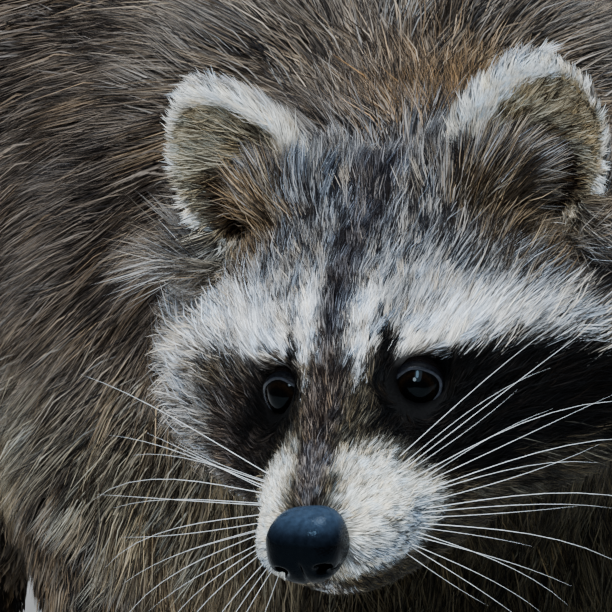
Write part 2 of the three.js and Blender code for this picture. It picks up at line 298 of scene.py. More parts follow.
# Which part of the animal each point of the skin belongs to: the nearest solid.
REACH = 9
owner = np.zeros(skin_size, int)
nearest = np.full(skin_size, 1e9)
for index, (corners, _, faces) in enumerate(flesh):
    tree = BVHTree.FromPolygons([Vector(c) for c in corners], faces)
    close = ((skin_at > corners.min(0) - REACH) & (skin_at < corners.max(0) + REACH)).all(1)
    close = np.nonzero(close)[0]
    gaps = np.array([tree.find_nearest(Vector(p))[3] for p in skin_at[close]])
    better = gaps < nearest[close]
    owner[close[better]] = index
    nearest[close[better]] = gaps[better]


def belongs(*stems):
    return np.isin(owner, [i for i, name in enumerate(FLESH) if name.startswith(stems)])


def soft_step(value, start, end):
    """From 0 before the start to 1 after the end, smooth between them."""
    t = np.clip((value - start) / (end - start), 0, 1)
    return t * t * (3 - 2 * t)


on_head = belongs("head", "lower_jaw")
on_ear = belongs("ear")
on_paw = belongs("forepaw", "hindpaw")
on_leg = belongs("foreleg", "hindleg")
on_tail = belongs("tail")
on_body = belongs("trunk", "neck")


def by_part(ear, paw, head, leg, tail, body):
    """For each point of the skin, the value of its part."""
    return np.select([on_ear, on_paw, on_head, on_leg, on_tail], [ear, paw, head, leg, tail], body)


# The facets of the solids are relaxed, most on the body and least on the face.
slack = spread(by_part(ear=0.10, paw=0.12, head=0.16, leg=0.5, tail=0.7, body=0.85), 6)
skin_at = spread(skin_at, RELAXING, slack)

# Each ear is a thin dish whose hollow runs down into the head. Below, the hollow ends along a slant, given by
# (x, z) of its inner and its outer end.
EAR_AT = (45, 65, 38)
EAR_HALF, EAR_ABOVE, EAR_BELOW = 24, 33, 26
EAR_LEAN, EAR_BACK, EAR_TURN = 24, 8, 8
EAR_HOLLOW = 10
EAR_FOOT = ((-14, -2), (9, -20))
# The hollow runs out towards the rim, down to the slant, ahead and behind, and where the skin turns away.
HOLLOW_EDGE, HOLLOW_FOOT = (0.70, 0.92), (-2, 5)
HOLLOW_AHEAD, HOLLOW_BEHIND = -26, 10
TURNED_AWAY = (-0.35, 0.1)
# The thin part of the ear, with next to no depth of coat.
THIN_EDGE, THIN_AHEAD, THIN_BEHIND = (1.0, 1.35), (-15, -6), 24


def ear_axes(side):
    return np.array(
        Matrix.Rotation(math.radians(side * EAR_LEAN), 3, "Y")
        @ Matrix.Rotation(math.radians(-EAR_BACK), 3, "X")
        @ Matrix.Rotation(math.radians(side * EAR_TURN), 3, "Z")
    )


def in_ear(local, side):
    """Points of the head in one ear's axes, with x away from the other ear, y to the back and z to the tip,
    and how far out they lie from the dish's middle, as a share of the way to its rim."""
    q = (local - np.array(EAR_AT) * (side, 1, 1)) @ ear_axes(side)
    q[:, 0] *= side
    rim = np.hypot(q[:, 0] / EAR_HALF, q[:, 2] / np.where(q[:, 2] > 0, EAR_ABOVE, EAR_BELOW))
    return q, rim


def above_foot(q):
    """Height in millimetres over the slant that the hollow ends on."""
    (ax, az), (bx, bz) = EAR_FOOT
    return ((q[:, 2] - az) * (bx - ax) - (q[:, 0] - ax) * (bz - az)) / math.hypot(bx - ax, bz - az)


face = in_head(skin_at)
ear_carved, ear_thin = np.zeros((2, skin_size))
for side in (-1, 1):
    q, rim = in_ear(face, side)
    backwards = ear_axes(side)[:, 1]
    inside = (1 - soft_step(rim, *HOLLOW_EDGE)) * (q[:, 1] > HOLLOW_AHEAD) * (q[:, 1] < HOLLOW_BEHIND)
    inside = inside * soft_step(above_foot(q), *HOLLOW_FOOT)
    inside *= soft_step(-(outward(skin_at) @ HEAD_AXES.T) @ backwards, *TURNED_AWAY)
    inside *= on_head | on_ear
    push = np.maximum(EAR_HOLLOW * (1 - rim**2) - q[:, 1], 0) * inside
    ear_carved = np.maximum(ear_carved, soft_step(inside, 0.25, 0.6))
    within = (1 - soft_step(rim, *THIN_EDGE)) * soft_step(q[:, 1], *THIN_AHEAD) * (q[:, 1] < THIN_BEHIND)
    ear_thin = np.maximum(ear_thin, within)
    skin_at = skin_at + push[:, None] * (backwards @ HEAD_AXES)
skin_at = spread(skin_at, 3, 0.25 * spread(on_ear, 3))
face = in_head(skin_at)

# Depth of the coat from skin to hair tips: on the head by how far back, on a leg by height over the floor.
HEAD_DEPTH = ((-55, -30, -8, 15, 45, 90), (0.8, 1.6, 2.6, 4.0, 7.0, 12.0))
LEG_DEPTH = ((20, 60, 120, 190), (2.0, 4.0, 9.0, 14.0))
EAR_DEPTH, PAW_DEPTH, PAW_DEPTH_MOST, BODY_DEPTH = 0.8, 0.9, 1.2, 17.0
CHEEK_DEPTH = 4
RIM_DEPTH = 0.7
LIDS_AHEAD = 6


def from_lids(local, side):
    return local - np.array([side * EYE_AT[0], EYE_AT[1] - LIDS_AHEAD, EYE_AT[2]])


cheek = soft_step(np.abs(face[:, 0]), 38, 62) * soft_step(face[:, 1], 15, 50)
head_depth = np.interp(face[:, 1], *HEAD_DEPTH) + CHEEK_DEPTH * cheek
leg_depth = np.interp(skin_at[:, 2], *LEG_DEPTH)
to_lids = np.minimum(*[np.linalg.norm(from_lids(face, side), axis=1) for side in (-1, 1)])
head_depth = head_depth * (0.2 + 0.8 * soft_step(to_lids, 9, 24))
coat_depth = by_part(EAR_DEPTH, PAW_DEPTH, head_depth, leg_depth, BODY_DEPTH, BODY_DEPTH)
coat_depth = spread(coat_depth, 14)
coat_depth[on_paw] = np.minimum(coat_depth[on_paw], PAW_DEPTH_MOST)
coat_depth = coat_depth + (RIM_DEPTH - coat_depth) * spread(ear_thin * (on_head | on_ear), 2)
skin_at = skin_at - outward(skin_at) * coat_depth[:, None]
skin_at = spread(skin_at, 8, slack)
skin_at[:, 2] = np.maximum(skin_at[:, 2], SOLE_LIFT)
skin_normal = outward(skin_at)
smooth_normal = unit(spread(skin_normal, 6))
face = in_head(skin_at)

# ---------------------------------------------------------------------------
# The lie of the coat: back from the nose over the head, back and down over
# the body, down the legs and out along the tail.
NOSE_POLE = (0, -62, -22)
NAPE = (4, 62, 40)
FLANK_FALL = 1.05
BACK_SWEEP = 0.30
LEG_LIE, PAW_LIE, TAIL_LIE = (0, 0.12, -1.0), (0, -1.0, -0.25), (0.12, 1.0, -0.25)
CROWN_STAND = 0.8
RUFF_STAND = 0.22
EAR_FAN = (-17, -12)
PARTING = 1.25

lie = np.zeros((skin_size, 3))
away_from_nose = face - np.array(NOSE_POLE)
away_from_nose[:, 2] -= 22 * soft_step(np.abs(face[:, 0]), 30, 60) + 14 * soft_step(-face[:, 2], 20, 45)
lie[on_head] = (unit(away_from_nose) @ HEAD_AXES)[on_head]
from_nape = skin_at - from_head(NAPE)
fall = FLANK_FALL * soft_step(np.linalg.norm(from_nape, axis=1), 30, 130)
body_lie = unit(from_nape * (0.8, 1.1, 0.9)) + (0, BACK_SWEEP, 0) - fall[:, None] * (0, 0, 1)
lie[on_body] = body_lie[on_body]
lie[on_leg], lie[on_paw], lie[on_tail] = LEG_LIE, PAW_LIE, TAIL_LIE
ear_zone, ear_rim, ear_front, ear_height, ear_inner, ear_length, stand_up = np.zeros((7, skin_size))
stand_up += CROWN_STAND * on_head * soft_step(face[:, 1], 30, 66) * soft_step(face[:, 2], 18, 34)
stand_up += RUFF_STAND * on_head * soft_step(face[:, 1], 50, 75) * soft_step(-face[:, 2], -20, -6)
for side in (-1, 1):
    q, rim = in_ear(face, side)
    axes = ear_axes(side)
    across, back, tip = (axes[:, 0] * side) @ HEAD_AXES, axes[:, 1] @ HEAD_AXES, axes[:, 2] @ HEAD_AXES
    near = (face[:, 0] * side > 12) & (rim < 1.35) & (np.abs(q[:, 1] - 2) < 22) & (on_head | on_ear)
    zone = near & (on_ear | (ear_carved > 0.5))
    front = soft_step(-(skin_normal @ back), -0.1, 0.3)
    at_rim = soft_step(rim, 0.74, 0.86)
    inner = soft_step(-q[:, 0], -4, 8)
    # Inside, the hair fans out from the ear's inner foot. On the rim it points out and forwards, behind it to
    # the tip.
    fan = unit((q[:, :1] - EAR_FAN[0]) * across + (q[:, 2:] - EAR_FAN[1]) * tip)
    radial = unit(q[:, :1] / EAR_HALF * across + q[:, 2:] / EAR_ABOVE * tip)
    rim_lie = radial + 0.9 * inner[:, None] * tip - 0.4 * back
    behind = tip + (0.15 - 0.5 * inner)[:, None] * across
    ahead = fan * (1 - at_rim)[:, None] + rim_lie * at_rim[:, None]
    direction = unit(np.where(front[:, None] > 0.5, ahead, behind))
    fan_length = np.minimum(12.0, 2.0 + 26 * np.maximum(0.9 - rim, 0))
    ahead_length = fan_length * (1 - at_rim) + (5.0 + 2.2 * inner) * at_rim
    own_length = np.where(front > 0.5, ahead_length, 5.5 + 4.5 * inner)
    lie[zone] = direction[zone]
    ear_zone[zone] = 1
    for field, value in (
        (ear_rim, rim),
        (ear_front, front),
        (ear_height, q[:, 2]),
        (ear_inner, -q[:, 0]),
        (ear_length, own_length),
        (stand_up, 0.22 + 0.4 * at_rim),
    ):
        field[zone] = value[zone]


def along_skin(direction, normal):
    return unit(direction - (direction * normal).sum(-1, keepdims=True) * normal)


for _ in range(4):
    lie = along_skin(lie, smooth_normal)
    lie = spread(lie, 4, 0.5 - 0.42 * ear_zone)
lie = along_skin(lie, smooth_normal)

# Round each eye the hair parts and lies clear of the lids.
for side in (-1, 1):
    from_eye = from_lids(face, side)
    outwards = unit(from_eye) @ HEAD_AXES
    nearby = 1 - soft_step(np.linalg.norm(from_eye, axis=1), 12, 22)
    inward_part = np.minimum((lie * outwards).sum(1), 0) * nearby
    lie = along_skin(lie - PARTING * inward_part[:, None] * outwards, smooth_normal)

# Length of the hair. It is shorter round the eyes and on the forehead, and longer below the ears, at the
# outer corners of the face and on the cheeks.
HEAD_HAIR = ((-58, -45, -25, 0, 25, 60, 95), (2.6, 3.8, 6.0, 11.0, 17.0, 24.0, 33.0))
LEG_HAIR = ((20, 60, 120, 190), (5.0, 9.0, 20.0, 32.0))
BODY_HAIR = ((60, 130, 260), (30.0, 36.0, 38.0))
EAR_HAIR, PAW_HAIR, TAIL_HAIR = 7.0, 3.2, 32.0

x, y, z = face.T
wide = np.abs(x)
head_hair = np.interp(y, *HEAD_HAIR) * (0.30 + 0.70 * soft_step(to_lids, 9, 22))
head_hair *= 1 - 0.3 * soft_step(z, 4, 14) * (1 - soft_step(wide, 14, 36))
head_hair += 9 * soft_step(y, 44, 74) * soft_step(-z, -14, 8)
head_hair += 7 * soft_step(wide, 56, 68) * (1 - soft_step(y, 48, 60))
head_hair += 8 * cheek + 9 * soft_step(wide, 38, 60) * soft_step(-z, 10, 34)
leg_hair, body_hair = np.interp(skin_at[:, 2], *LEG_HAIR), np.interp(skin_at[:, 2], *BODY_HAIR)
length_of = spread(by_part(EAR_HAIR, PAW_HAIR, head_hair, leg_hair, TAIL_HAIR, body_hair), 8)
length_of = length_of + (ear_length - length_of) * ear_zone

# ---------------------------------------------------------------------------
# The markings of the coat and of the skin under it. Each mark of the face is a
# stroke of (x, y, z, half width) stations on the head, laid on one side or both.
LATTICE = 32
lattice = np.random.default_rng(11).uniform(-1, 1, (LATTICE, LATTICE, LATTICE))


def mottle(points, size, shift=0.0):
    """Smooth noise from -1 to 1 whose blotches are about that size."""
    q = np.asarray(points, float) / size + shift
    cell = np.floor(q).astype(int)
    t = q - cell
    t = t * t * (3 - 2 * t)
    total = np.zeros(len(q))
    for corner in range(8):
        step = np.array([corner & 1, corner >> 1 & 1, corner >> 2 & 1])
        weight = np.where(step, t, 1 - t).prod(1)
        x, y, z = ((cell + step) % LATTICE).T
        total += weight * lattice[x, y, z]
    return total


# Distances along the muzzle count for less than those across the face.
MARK_DEPTH = 0.45


def stroke(points, stations):
    """Distance outside a stroke's edge, in millimetres; below zero inside it."""
    best = np.full(len(points), 1e9)
    flatter = (1, MARK_DEPTH, 1, 1)
    points, stations = points * flatter[:3], np.array(stations, float) * flatter
    for a, b in zip(stations[:-1], stations[1:]):
        span = b[:3] - a[:3]
        t = np.clip(((points - a[:3]) @ span) / (span @ span), 0, 1)
        gap = np.linalg.norm(points - a[:3] - t[:, None] * span, axis=1)
        best = np.minimum(best, gap - (a[3] + t * (b[3] - a[3])))
    return best


# Each hair has a dark and a light form; a mark says the colour of both and the share of light hairs.
GRIZZLE = ((0.015, 0.012, 0.011), (0.235, 0.190, 0.148), 0.42)
FOREHEAD = ((0.009, 0.008, 0.009), (0.31, 0.30, 0.30), 0.31)
WHITE = ((0.085, 0.072, 0.062), (0.90, 0.90, 0.91), 0.66)
BLACK = ((0.0012, 0.0011, 0.0012), (0.007, 0.005, 0.004), 0.25)
CROWN_STRIPE = ((0.005, 0.004, 0.005), (0.15, 0.14, 0.15), 0.27)
BRIDGE = ((0.006, 0.004, 0.004), (0.165, 0.130, 0.108), 0.32)
BRIDGE_FOOT = ((0.014, 0.011, 0.012), (0.185, 0.165, 0.16), 0.40)
FOREHEAD_PALE = ((0.017, 0.015, 0.015), (0.48, 0.47, 0.465), 0.50)
CREAM = ((0.15, 0.13, 0.10), (0.92, 0.89, 0.80), 0.72)
# Grey hairs with painted shade, for the underside of the muzzle.
MUZZLE_GREY_AND_SHADE = ((0.06, 0.06, 0.063), (0.56, 0.61, 0.65), 0.46)
FRINGE = ((0.03, 0.024, 0.020), (0.66, 0.64, 0.62), 0.42)
CHEEK = ((0.006, 0.005, 0.004), (0.13, 0.105, 0.07), 0.36)
# Dark throat fur; on the body it also serves as painted shade under the head.
THROAT_AND_SHADE = ((0.004, 0.003, 0.002), (0.07, 0.058, 0.034), 0.34)
NAPE_BROWN = ((0.010, 0.007, 0.004), (0.23, 0.137, 0.060), 0.36)
NAPE_SHADE = ((0.007, 0.006, 0.007), (0.16, 0.137, 0.12), 0.23)
BACK_GREY = ((0.030, 0.027, 0.026), (0.345, 0.325, 0.305), 0.49)
FLANK_DARK = ((0.013, 0.010, 0.009), (0.165, 0.13, 0.105), 0.36)
SIDE_PALE = ((0.024, 0.019, 0.014), (0.33, 0.295, 0.215), 0.50)
MASK_BROWN = ((0.010, 0.007, 0.006), (0.17, 0.135, 0.115), 0.36)
BELLY = ((0.05, 0.038, 0.028), (0.30, 0.24, 0.16), 0.55)
PAW = ((0.05, 0.04, 0.035), (0.34, 0.30, 0.26), 0.5)
LEG = ((0.012, 0.010, 0.009), (0.18, 0.14, 0.10), 0.42)
TAIL_DARK = ((0.005, 0.004, 0.004), (0.030, 0.024, 0.020), 0.35)
TAIL_PALE = ((0.09, 0.07, 0.05), (0.42, 0.345, 0.25), 0.70)
EAR_RIM = ((0.55, 0.55, 0.52), (0.95, 0.95, 0.93), 0.92)
EAR_INSIDE = ((0.018, 0.012, 0.007), (0.46, 0.40, 0.28), 0.50)
EAR_TAN = ((0.06, 0.042, 0.024), (0.58, 0.49, 0.34), 0.60)
EAR_BASE = ((0.014, 0.009, 0.005), (0.26, 0.19, 0.12), 0.38)
# Painted shade for the pit at the foot of the ear's hollow.
EAR_PIT_SHADE = ((0.002, 0.001, 0.001), (0.05, 0.03, 0.015), 0.35)
EAR_BEHIND = ((0.02, 0.018, 0.018), (0.36, 0.33, 0.30), 0.50)

BROW_BAND_LEFT = [
    (18, 4, 8.5, 3), (24, 6, 10.5, 4.6), (33, 13, 10.5, 6.2), (44, 25, 7.2, 5.6), (54, 34, 1.8, 4.3),
    (64, 45, -6.5, 4), (74, 60, -12, 4.5),
]
BROW_BAND_RIGHT = [
    (-15, 2, 10, 3), (-23, 5, 13, 5.5), (-31, 10, 13, 7), (-42, 22, 12.5, 8), (-52, 33, 10, 9),
    (-62, 42, 5, 9.5), (-70, 48, -2, 10), (-77, 45, -12, 9), (-74, 41, -20, 8),
]
CHEEK_RUFF = [(-62, 26, -14, 9), (-60, 24, -30, 10), (-52, 20, -46, 11), (-42, 14, -54, 9)]
CHEEK_FRINGE = [(-72, 38, -22, 7), (-74, 38, -34, 6)]
INNER_BROW = [
    (8.3, -10, 4.5, 0.7), (8.4, -6, 7.5, 1.5), (8.6, -1, 12, 2.2), (8.8, 4, 16, 2.6), (9.4, 8, 19.5, 2.6),
    (9.9, 12, 24, 1.2),
]
EYE_NOTCH = [(15, -5, 4, 3.2), (15.2, -1, 9, 2.4), (14.6, 3, 13, 1.5), (13.8, 6, 16, 0.6)]
MASK_LEFT = [
    (11, -6, 0, 4.5), (19, -2, -4, 9), (29, 5, -7.5, 11), (40, 10, -10, 12.5), (52, 18, -16, 14),
    (64, 28, -22, 13), (76, 40, -29, 12),
]
MASK_RIGHT = [(-11, -6, 0, 4.5), (-19, -2, -4, 9), (-27, 4, -8, 9), (-32, 8, -13, 7.5)]
MASK_HAZE = [(-30, 6, -8, 11), (-38, 9, -13, 10.5), (-42, 13, -22, 9), (-40, 12, -32, 8)]
MASK_FOOT = [(12.5, -11, -6.5, 4.2), (20, -9, -12, 6.5), (28, -3, -17, 8), (36, 6, -22, 9), (40, 12, -27, 9)]
MUZZLE = [(8.5, -28, -12, 4.0), (14, -36, -18, 8), (17, -34, -27, 10), (9, -44, -32.5, 7)]
MUZZLE_SHADE = [(12, -49, -32, 3.5), (18, -43, -33, 5.5), (25, -33, -32, 6.5)]
MUZZLE_SIDE = [(9, -50, -28, 8), (20, -29, -29.5, 8.5), (24, -24, -29, 5.5)]
CHIN = [(0, -47, -44, 2), (4, -40, -46, 2)]
BRIDGE_STRIPE = [(0, -52, -14, 3.2), (0, -36, -7, 4.2), (0, -22, -1, 6.4), (0, -8, 8, 4.9), (0, 3, 17, 3.6)]
FOREHEAD_STRIPE = [(0, -2, 13, 2.8), (0.5, 10, 25, 3.9), (1.5, 28, 34, 5.4), (3, 55, 41, 7), (3, 100, 46, 9)]
EAR_BASE_MARK = [(32, 60, 35, 7), (42, 55.5, 27, 9.5), (54, 55, 18, 8)]
SHADED_THROAT_AT = (30, -235, 100)
NAPE_MARK_AT = (2, 78, 40)
BROWN_AT = (-2, 155, 16)
MIDDLE_OF_FACE = -1.0
# The tail's rings run along Y, and its tip is dark.
TAIL_FROM, TAIL_LENGTH, TAIL_RINGS = 129, 265, 6
TAIL_TIP = (349, 364)


def coat_colours(points, part):
    """Dark hair, light hair and share of light hairs at points on the animal."""
    local = in_head(points)
    local[:, 0] -= MIDDLE_OF_FACE
    both_sides = local.copy()
    both_sides[:, 0] = wide = np.abs(local[:, 0])
    wander = 1.6 * mottle(points, 7.0) + 0.8 * mottle(points, 3.0, 5.5)
    dark, light, share = (np.tile(np.array(v, float), (len(points), 1)) for v in GRIZZLE)
    share = share[:, 0]

    def lay(colours, weight):
        nonlocal dark, light, share
        w = np.clip(weight, 0, 1)[:, None]
        dark = dark + (np.array(colours[0]) - dark) * w
        light = light + (np.array(colours[1]) - light) * w
        share = share + (colours[2] - share) * w[:, 0]

    def mark(colours, stations, soft, on_both=True):
        gap = stroke(both_sides if on_both else local, stations)
        lay(colours, on * soft_step(-gap - wander, -soft, soft))

    # The body, its underside, the nape, and the throat with painted shade under the head.
    y, z = points[:, 1], points[:, 2]
    on = part["body"]
    blotches = 10 * mottle(points, 22.0)
    from_spine = np.abs(points[:, 0]) + blotches
    lay(FLANK_DARK, on * soft_step(from_spine, 60, 85) * soft_step(z, 150, 200) * 0.7)
    lay(SIDE_PALE, on * soft_step(-z + blotches, -165, -115) * 0.85)
    lay(BELLY, on * soft_step(-z, -120, -75))
    nape_gap = np.linalg.norm(local - NAPE_MARK_AT, axis=1)
    over_back = (1 - soft_step(from_spine, 30, 80)) * soft_step(z, 212, 240) * soft_step(nape_gap, 120, 165)
    lay(BACK_GREY, on * over_back * 0.8)
    lay(NAPE_SHADE, on * (1 - soft_step(nape_gap + 8 * mottle(points, 16.0), 60, 105)) * 0.8)
    brown_gap = np.linalg.norm((local - BROWN_AT) * (1.2, 0.6, 1.0), axis=1)
    lay(NAPE_BROWN, on * (1 - soft_step(brown_gap + 12 * mottle(points, 14.0), 14, 52)) * 0.9)
    lay(FOREHEAD, on * (1 - soft_step(nape_gap + 8 * mottle(points, 10.0), 28, 52)) * 0.8)
    # Under the head the throat and chest go darker, most on the animal's left: dark fur, with painted shade
    # from the head.
    shaded_throat_gap = np.linalg.norm((points - SHADED_THROAT_AT) * (0.9, 0.6, 1.0), axis=1)
    lay(THROAT_AND_SHADE, on * (1 - soft_step(shaded_throat_gap + 6 * mottle(points, 16.0), 45, 95)))

    # The legs, the paws and the ringed tail.
    lay(LEG, part["leg"] * soft_step(-z, -150, -90))
    lay(PAW, part["paw"])
    on = part["tail"]
    ring = np.sin((y - TAIL_FROM) / TAIL_LENGTH * 2 * math.pi * TAIL_RINGS + 0.22 * mottle(points, 12.0))
    lay(TAIL_PALE, on)
    lay(TAIL_DARK, on * np.maximum(soft_step(ring, -0.35, 0.25), soft_step(y, *TAIL_TIP)))

    # The head, from the cheeks to the forehead, then the strokes of the face.
    x, y, z = local.T
    on = part["head"]
    lay(CHEEK, on)
    brow_height = z + 0.3 * np.maximum(wide - 28, 0)
    lay(FOREHEAD, on * soft_step(brow_height, 6, 16))
    behind_brow = y - 0.45 * wide
    lay(FOREHEAD_PALE, on * soft_step(brow_height, 6, 16) * (1 - soft_step(behind_brow, 6, 33)) * 0.9)
    lay(THROAT_AND_SHADE, on * soft_step(-z, 36, 48))
    mark(FRINGE, CHEEK_RUFF, 9, False)
    lay(GRIZZLE, on * soft_step(wide, 48, 58) * soft_step(y, 46, 58) * soft_step(z, -4, 6))
    mark(BLACK, MASK_FOOT, 3)
    mark(WHITE, BROW_BAND_LEFT, 5, False)
    mark(WHITE, BROW_BAND_RIGHT, 5, False)
    mark(BLACK, MASK_LEFT, 2.2, False)
    mark(MASK_BROWN, MASK_HAZE, 6, False)
    mark(BLACK, MASK_RIGHT, 5, False)
    mark(FRINGE, CHEEK_FRINGE, 6, False)
    mark(BLACK, EYE_NOTCH, 1.5)
    mark(WHITE, INNER_BROW, 1.3)
    mark(CREAM, MUZZLE, 3.8)
    mark(CREAM, MUZZLE_SIDE, 3.2)
    # The lower muzzle goes grey: partly grey hairs, partly painted shade under the muzzle.
    mark(MUZZLE_GREY_AND_SHADE, MUZZLE_SHADE, 4.0)
    mark(FRINGE, CHIN, 3.0)
    mark(BRIDGE, BRIDGE_STRIPE, 2.4)
    mark(BRIDGE_FOOT, BRIDGE_STRIPE[:2], 2.4)
    on = np.maximum(part["head"], part["body"] * (1 - soft_step(nape_gap, 28, 50)))
    mark(CROWN_STRIPE, FOREHEAD_STRIPE, 2.6)
    on = part["head"]
    mark(EAR_BASE, EAR_BASE_MARK, 5.0)

    # The ears: painted shade in the depth, a white rim that turns tan towards its foot, grey behind.
    ear, rim, front, height = part["ear"], part["ear_rim"], part["ear_front"], part["ear_height"]
    inner = soft_step(part["ear_inner"], -6, 10) * soft_step(height, -12, 4)
    white_from = 0.85 - 0.20 * inner
    white = soft_step(rim + 0.02 * wander, white_from - 0.05, white_from + 0.05)
    recess = np.hypot(part["ear_inner"] + 3, height + 8)
    lay(EAR_BEHIND, ear)
    lay(WHITE, ear * (1 - front) * inner * soft_step(rim, 0.5, 0.8) * 0.6)
    lay(EAR_INSIDE, ear * front)
    # Painted shade in the pit at the ear's foot.
    lay(EAR_PIT_SHADE, ear * front * (1 - soft_step(recess + 2 * wander, 9, 19)))
    lay(EAR_RIM, ear * white * np.maximum(front, soft_step(rim, 0.88, 0.94)))
    low = np.maximum(inner * (1 - soft_step(height + wander, -4, 14)), 1 - soft_step(height, -14, 2))
    lay(EAR_TAN, ear * white * low * 0.85)
    lay(EAR_BASE, ear * white * (1 - soft_step(height, -20, -8)) * 0.8)
    return dark, light, share


skin_part = {
    "head": spread(on_head | on_ear, 3),
    "body": spread(on_body, 6),
    "leg": spread(on_leg, 6),
    "paw": spread(on_paw, 3),
    "tail": spread(on_tail, 6),
    "ear": spread(ear_zone, 1),
    "ear_rim": ear_rim,
    "ear_front": ear_front,
    "ear_height": ear_height,
    "ear_inner": ear_inner,
}

# The hide is dimmer than the hair and keeps its markings as a tint.
HIDE_LIGHT = 0.25
HIDE_DIM = 0.75

dark, light, share = coat_colours(skin_at, skin_part)
skin_tint = spread((dark + (light - dark) * (HIDE_LIGHT * share)[:, None]) * HIDE_DIM, 1)


def write_tint(mesh, name, colours):
    tint = mesh.attributes.new(name, "FLOAT_COLOR", "POINT")
    rgba = np.c_[colours, np.ones(len(colours))]
    tint.data.foreach_set("color", rgba.astype(np.float32).ravel())


skin_mesh.vertices.foreach_set("co", (skin_at * MM).astype(np.float32).ravel())
write_tint(skin_mesh, "hide_tint", skin_tint)
skin_mesh.update()

hide = Finish("hide")
tint = hide.node("Attribute", attribute_name="hide_tint").outputs["Color"]
hide.shade(
    Base_Color=hide.scaled(tint, hide.stretch(hide.noise(60.0, 5.0), 0.75, 1.25)),
    Normal=hide.bump(hide.noise(900.0, 4.0), 0.5, 0.0006),
    Roughness=0.7,
    Specular_IOR_Level=0.05,
)


def as_piece(name, mesh, slot, *stands_for):
    """A finished mesh as a smooth piece that rides on the animal."""
    mesh.shade_smooth()
    piece = in_scene(name, mesh)
    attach(piece, "root")
    if stands_for:
        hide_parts(*stands_for)


skin_mesh.materials.clear()
skin_mesh.materials.append(hide.material)
as_piece("skin", skin_mesh, "hide", *FLESH)

# ---------------------------------------------------------------------------
# The eyes: dark glossy balls set deep between the lids, with a clear bulge in
# front and a brown ring round the pupil that shows only at its edge.
EYE_RADIUS = 8.4
# The ball is this much smaller than the hollow of its lids.
EYE_PLAY = 0.25
CORNEA_BULGE = 0.7
GAZE_OUT = 16
GAZE_UP = 3
EYE_RINGS, EYE_AROUND = 36, 48

glass = Finish("eye")
iris = glass.ramp(
    glass.node("Attribute", attribute_name="from_pupil").outputs["Fac"],
    (0.0, (0.0005, 0.0005, 0.0005)),
    (0.28, (0.0005, 0.0005, 0.0005)),
    (0.33, (0.0014, 0.0008, 0.0005)),
    (0.42, (0.003, 0.0017, 0.0008)),
    (0.50, (0.0008, 0.0008, 0.0008)),
    (0.7, (0.002, 0.0015, 0.0015)),
)
glass.shade(
    Base_Color=glass.scaled(iris, glass.stretch(glass.noise(1400.0, 3.0), 0.6, 1.4)),
    Roughness=0.05,
    Specular_IOR_Level=0.05,
    Specular_Tint=(0.70, 0.88, 1.0, 1),
)


def gaze_axes(side):
    """Unit vectors right, up and ahead of one eye, in the head's axes."""
    out, up = math.radians(side * GAZE_OUT), math.radians(GAZE_UP)
    ahead = np.array([math.sin(out) * math.cos(up), -math.cos(out) * math.cos(up), math.sin(up)])
    right = unit(np.cross((0, 0, 1), -ahead)) * -1
    return right, np.cross(-ahead, right) * -1, ahead


def grid_faces(rows, columns):
    """Quads of a grid of rows, each a closed ring of columns."""
    faces = []
    for i in range(rows - 1):
        for k in range(columns):
            n = (k + 1) % columns
            faces.append((i * columns + k, i * columns + n, (i + 1) * columns + n, (i + 1) * columns + k))
    return faces


def ball_grid(rings, columns):
    """A ball's points as angles from its front and round it, its two poles last, and its faces."""
    polar = np.linspace(0, math.pi, rings + 1)[1:-1]
    around = np.arange(columns) / columns * 2 * math.pi
    p, a = (g.ravel() for g in np.meshgrid(polar, around, indexing="ij"))
    faces = grid_faces(len(polar), columns)
    pole, last = len(polar) * columns, (len(polar) - 1) * columns
    for k in range(columns):
        n = (k + 1) % columns
        faces += [(pole, n, k), (pole + 1, last + k, last + n)]
    return np.r_[p, 0, math.pi], np.r_[a, 0, 0], faces


def shell(name, points, faces, finish, centre=None):
    """A mesh given in millimetres, its faces turned outwards, or away from a centre if it is open."""
    mesh = bpy.data.meshes.new(name)
    mesh.from_pydata(points * MM, [], faces)
    mesh.validate()
    mesh.materials.append(finish.material)
    solid = bmesh.new()
    solid.from_mesh(mesh)
    bmesh.ops.recalc_face_normals(solid, faces=solid.faces)
    if centre is not None:
        probe = solid.faces[len(solid.faces) // 2]
        if (probe.calc_center_median() - Vector(centre * MM)).dot(probe.normal) < 0:
            bmesh.ops.reverse_faces(solid, faces=solid.faces)
    solid.to_mesh(mesh)
    solid.free()
    return mesh


for side, name in ((1, "left"), (-1, "right")):
    right, up, ahead = gaze_axes(side)
    p, a, faces = ball_grid(EYE_RINGS, EYE_AROUND)
    r = EYE_RADIUS - EYE_PLAY + CORNEA_BULGE * (1 - soft_step(p, 0.15, 0.75))
    aside = np.cos(a)[:, None] * right + np.sin(a)[:, None] * up
    direction = np.sin(p)[:, None] * aside + np.cos(p)[:, None] * ahead
    points = from_head(np.array(EYE_AT) * (side, 1, 1) + direction * r[:, None])
    eyeball = shell(f"eyeball_{name}", points, faces, glass)
    values = eyeball.attributes.new("from_pupil", "FLOAT", "POINT")
    values.data.foreach_set("value", (p / math.pi * 2).astype(np.float32))
    as_piece(f"eyeball_{name}", eyeball, "eye", f"eye_{name}")

# ---------------------------------------------------------------------------
# The lids: a dark rim of bare skin round each eye, almond shaped. Its wet edge
# wraps the ball in front, and it runs out under the fur.
LID_AROUND = 56
LID_HALF_WIDTH = 57
LID_HALF_ABOVE = 48
LID_HALF_BELOW = LID_HALF_ABOVE * 0.94
LID_SHRINK = 0.1
WET_ROWS = 2
# Each row round the opening: degrees out from its edge, and rise over the ball.
LID_ROWS = [(-2, 0.0), (0, 0.3), (2.5, 0.55), (8, 0.6), (15, 0.3), (24, -0.4), (36, -2.0)]

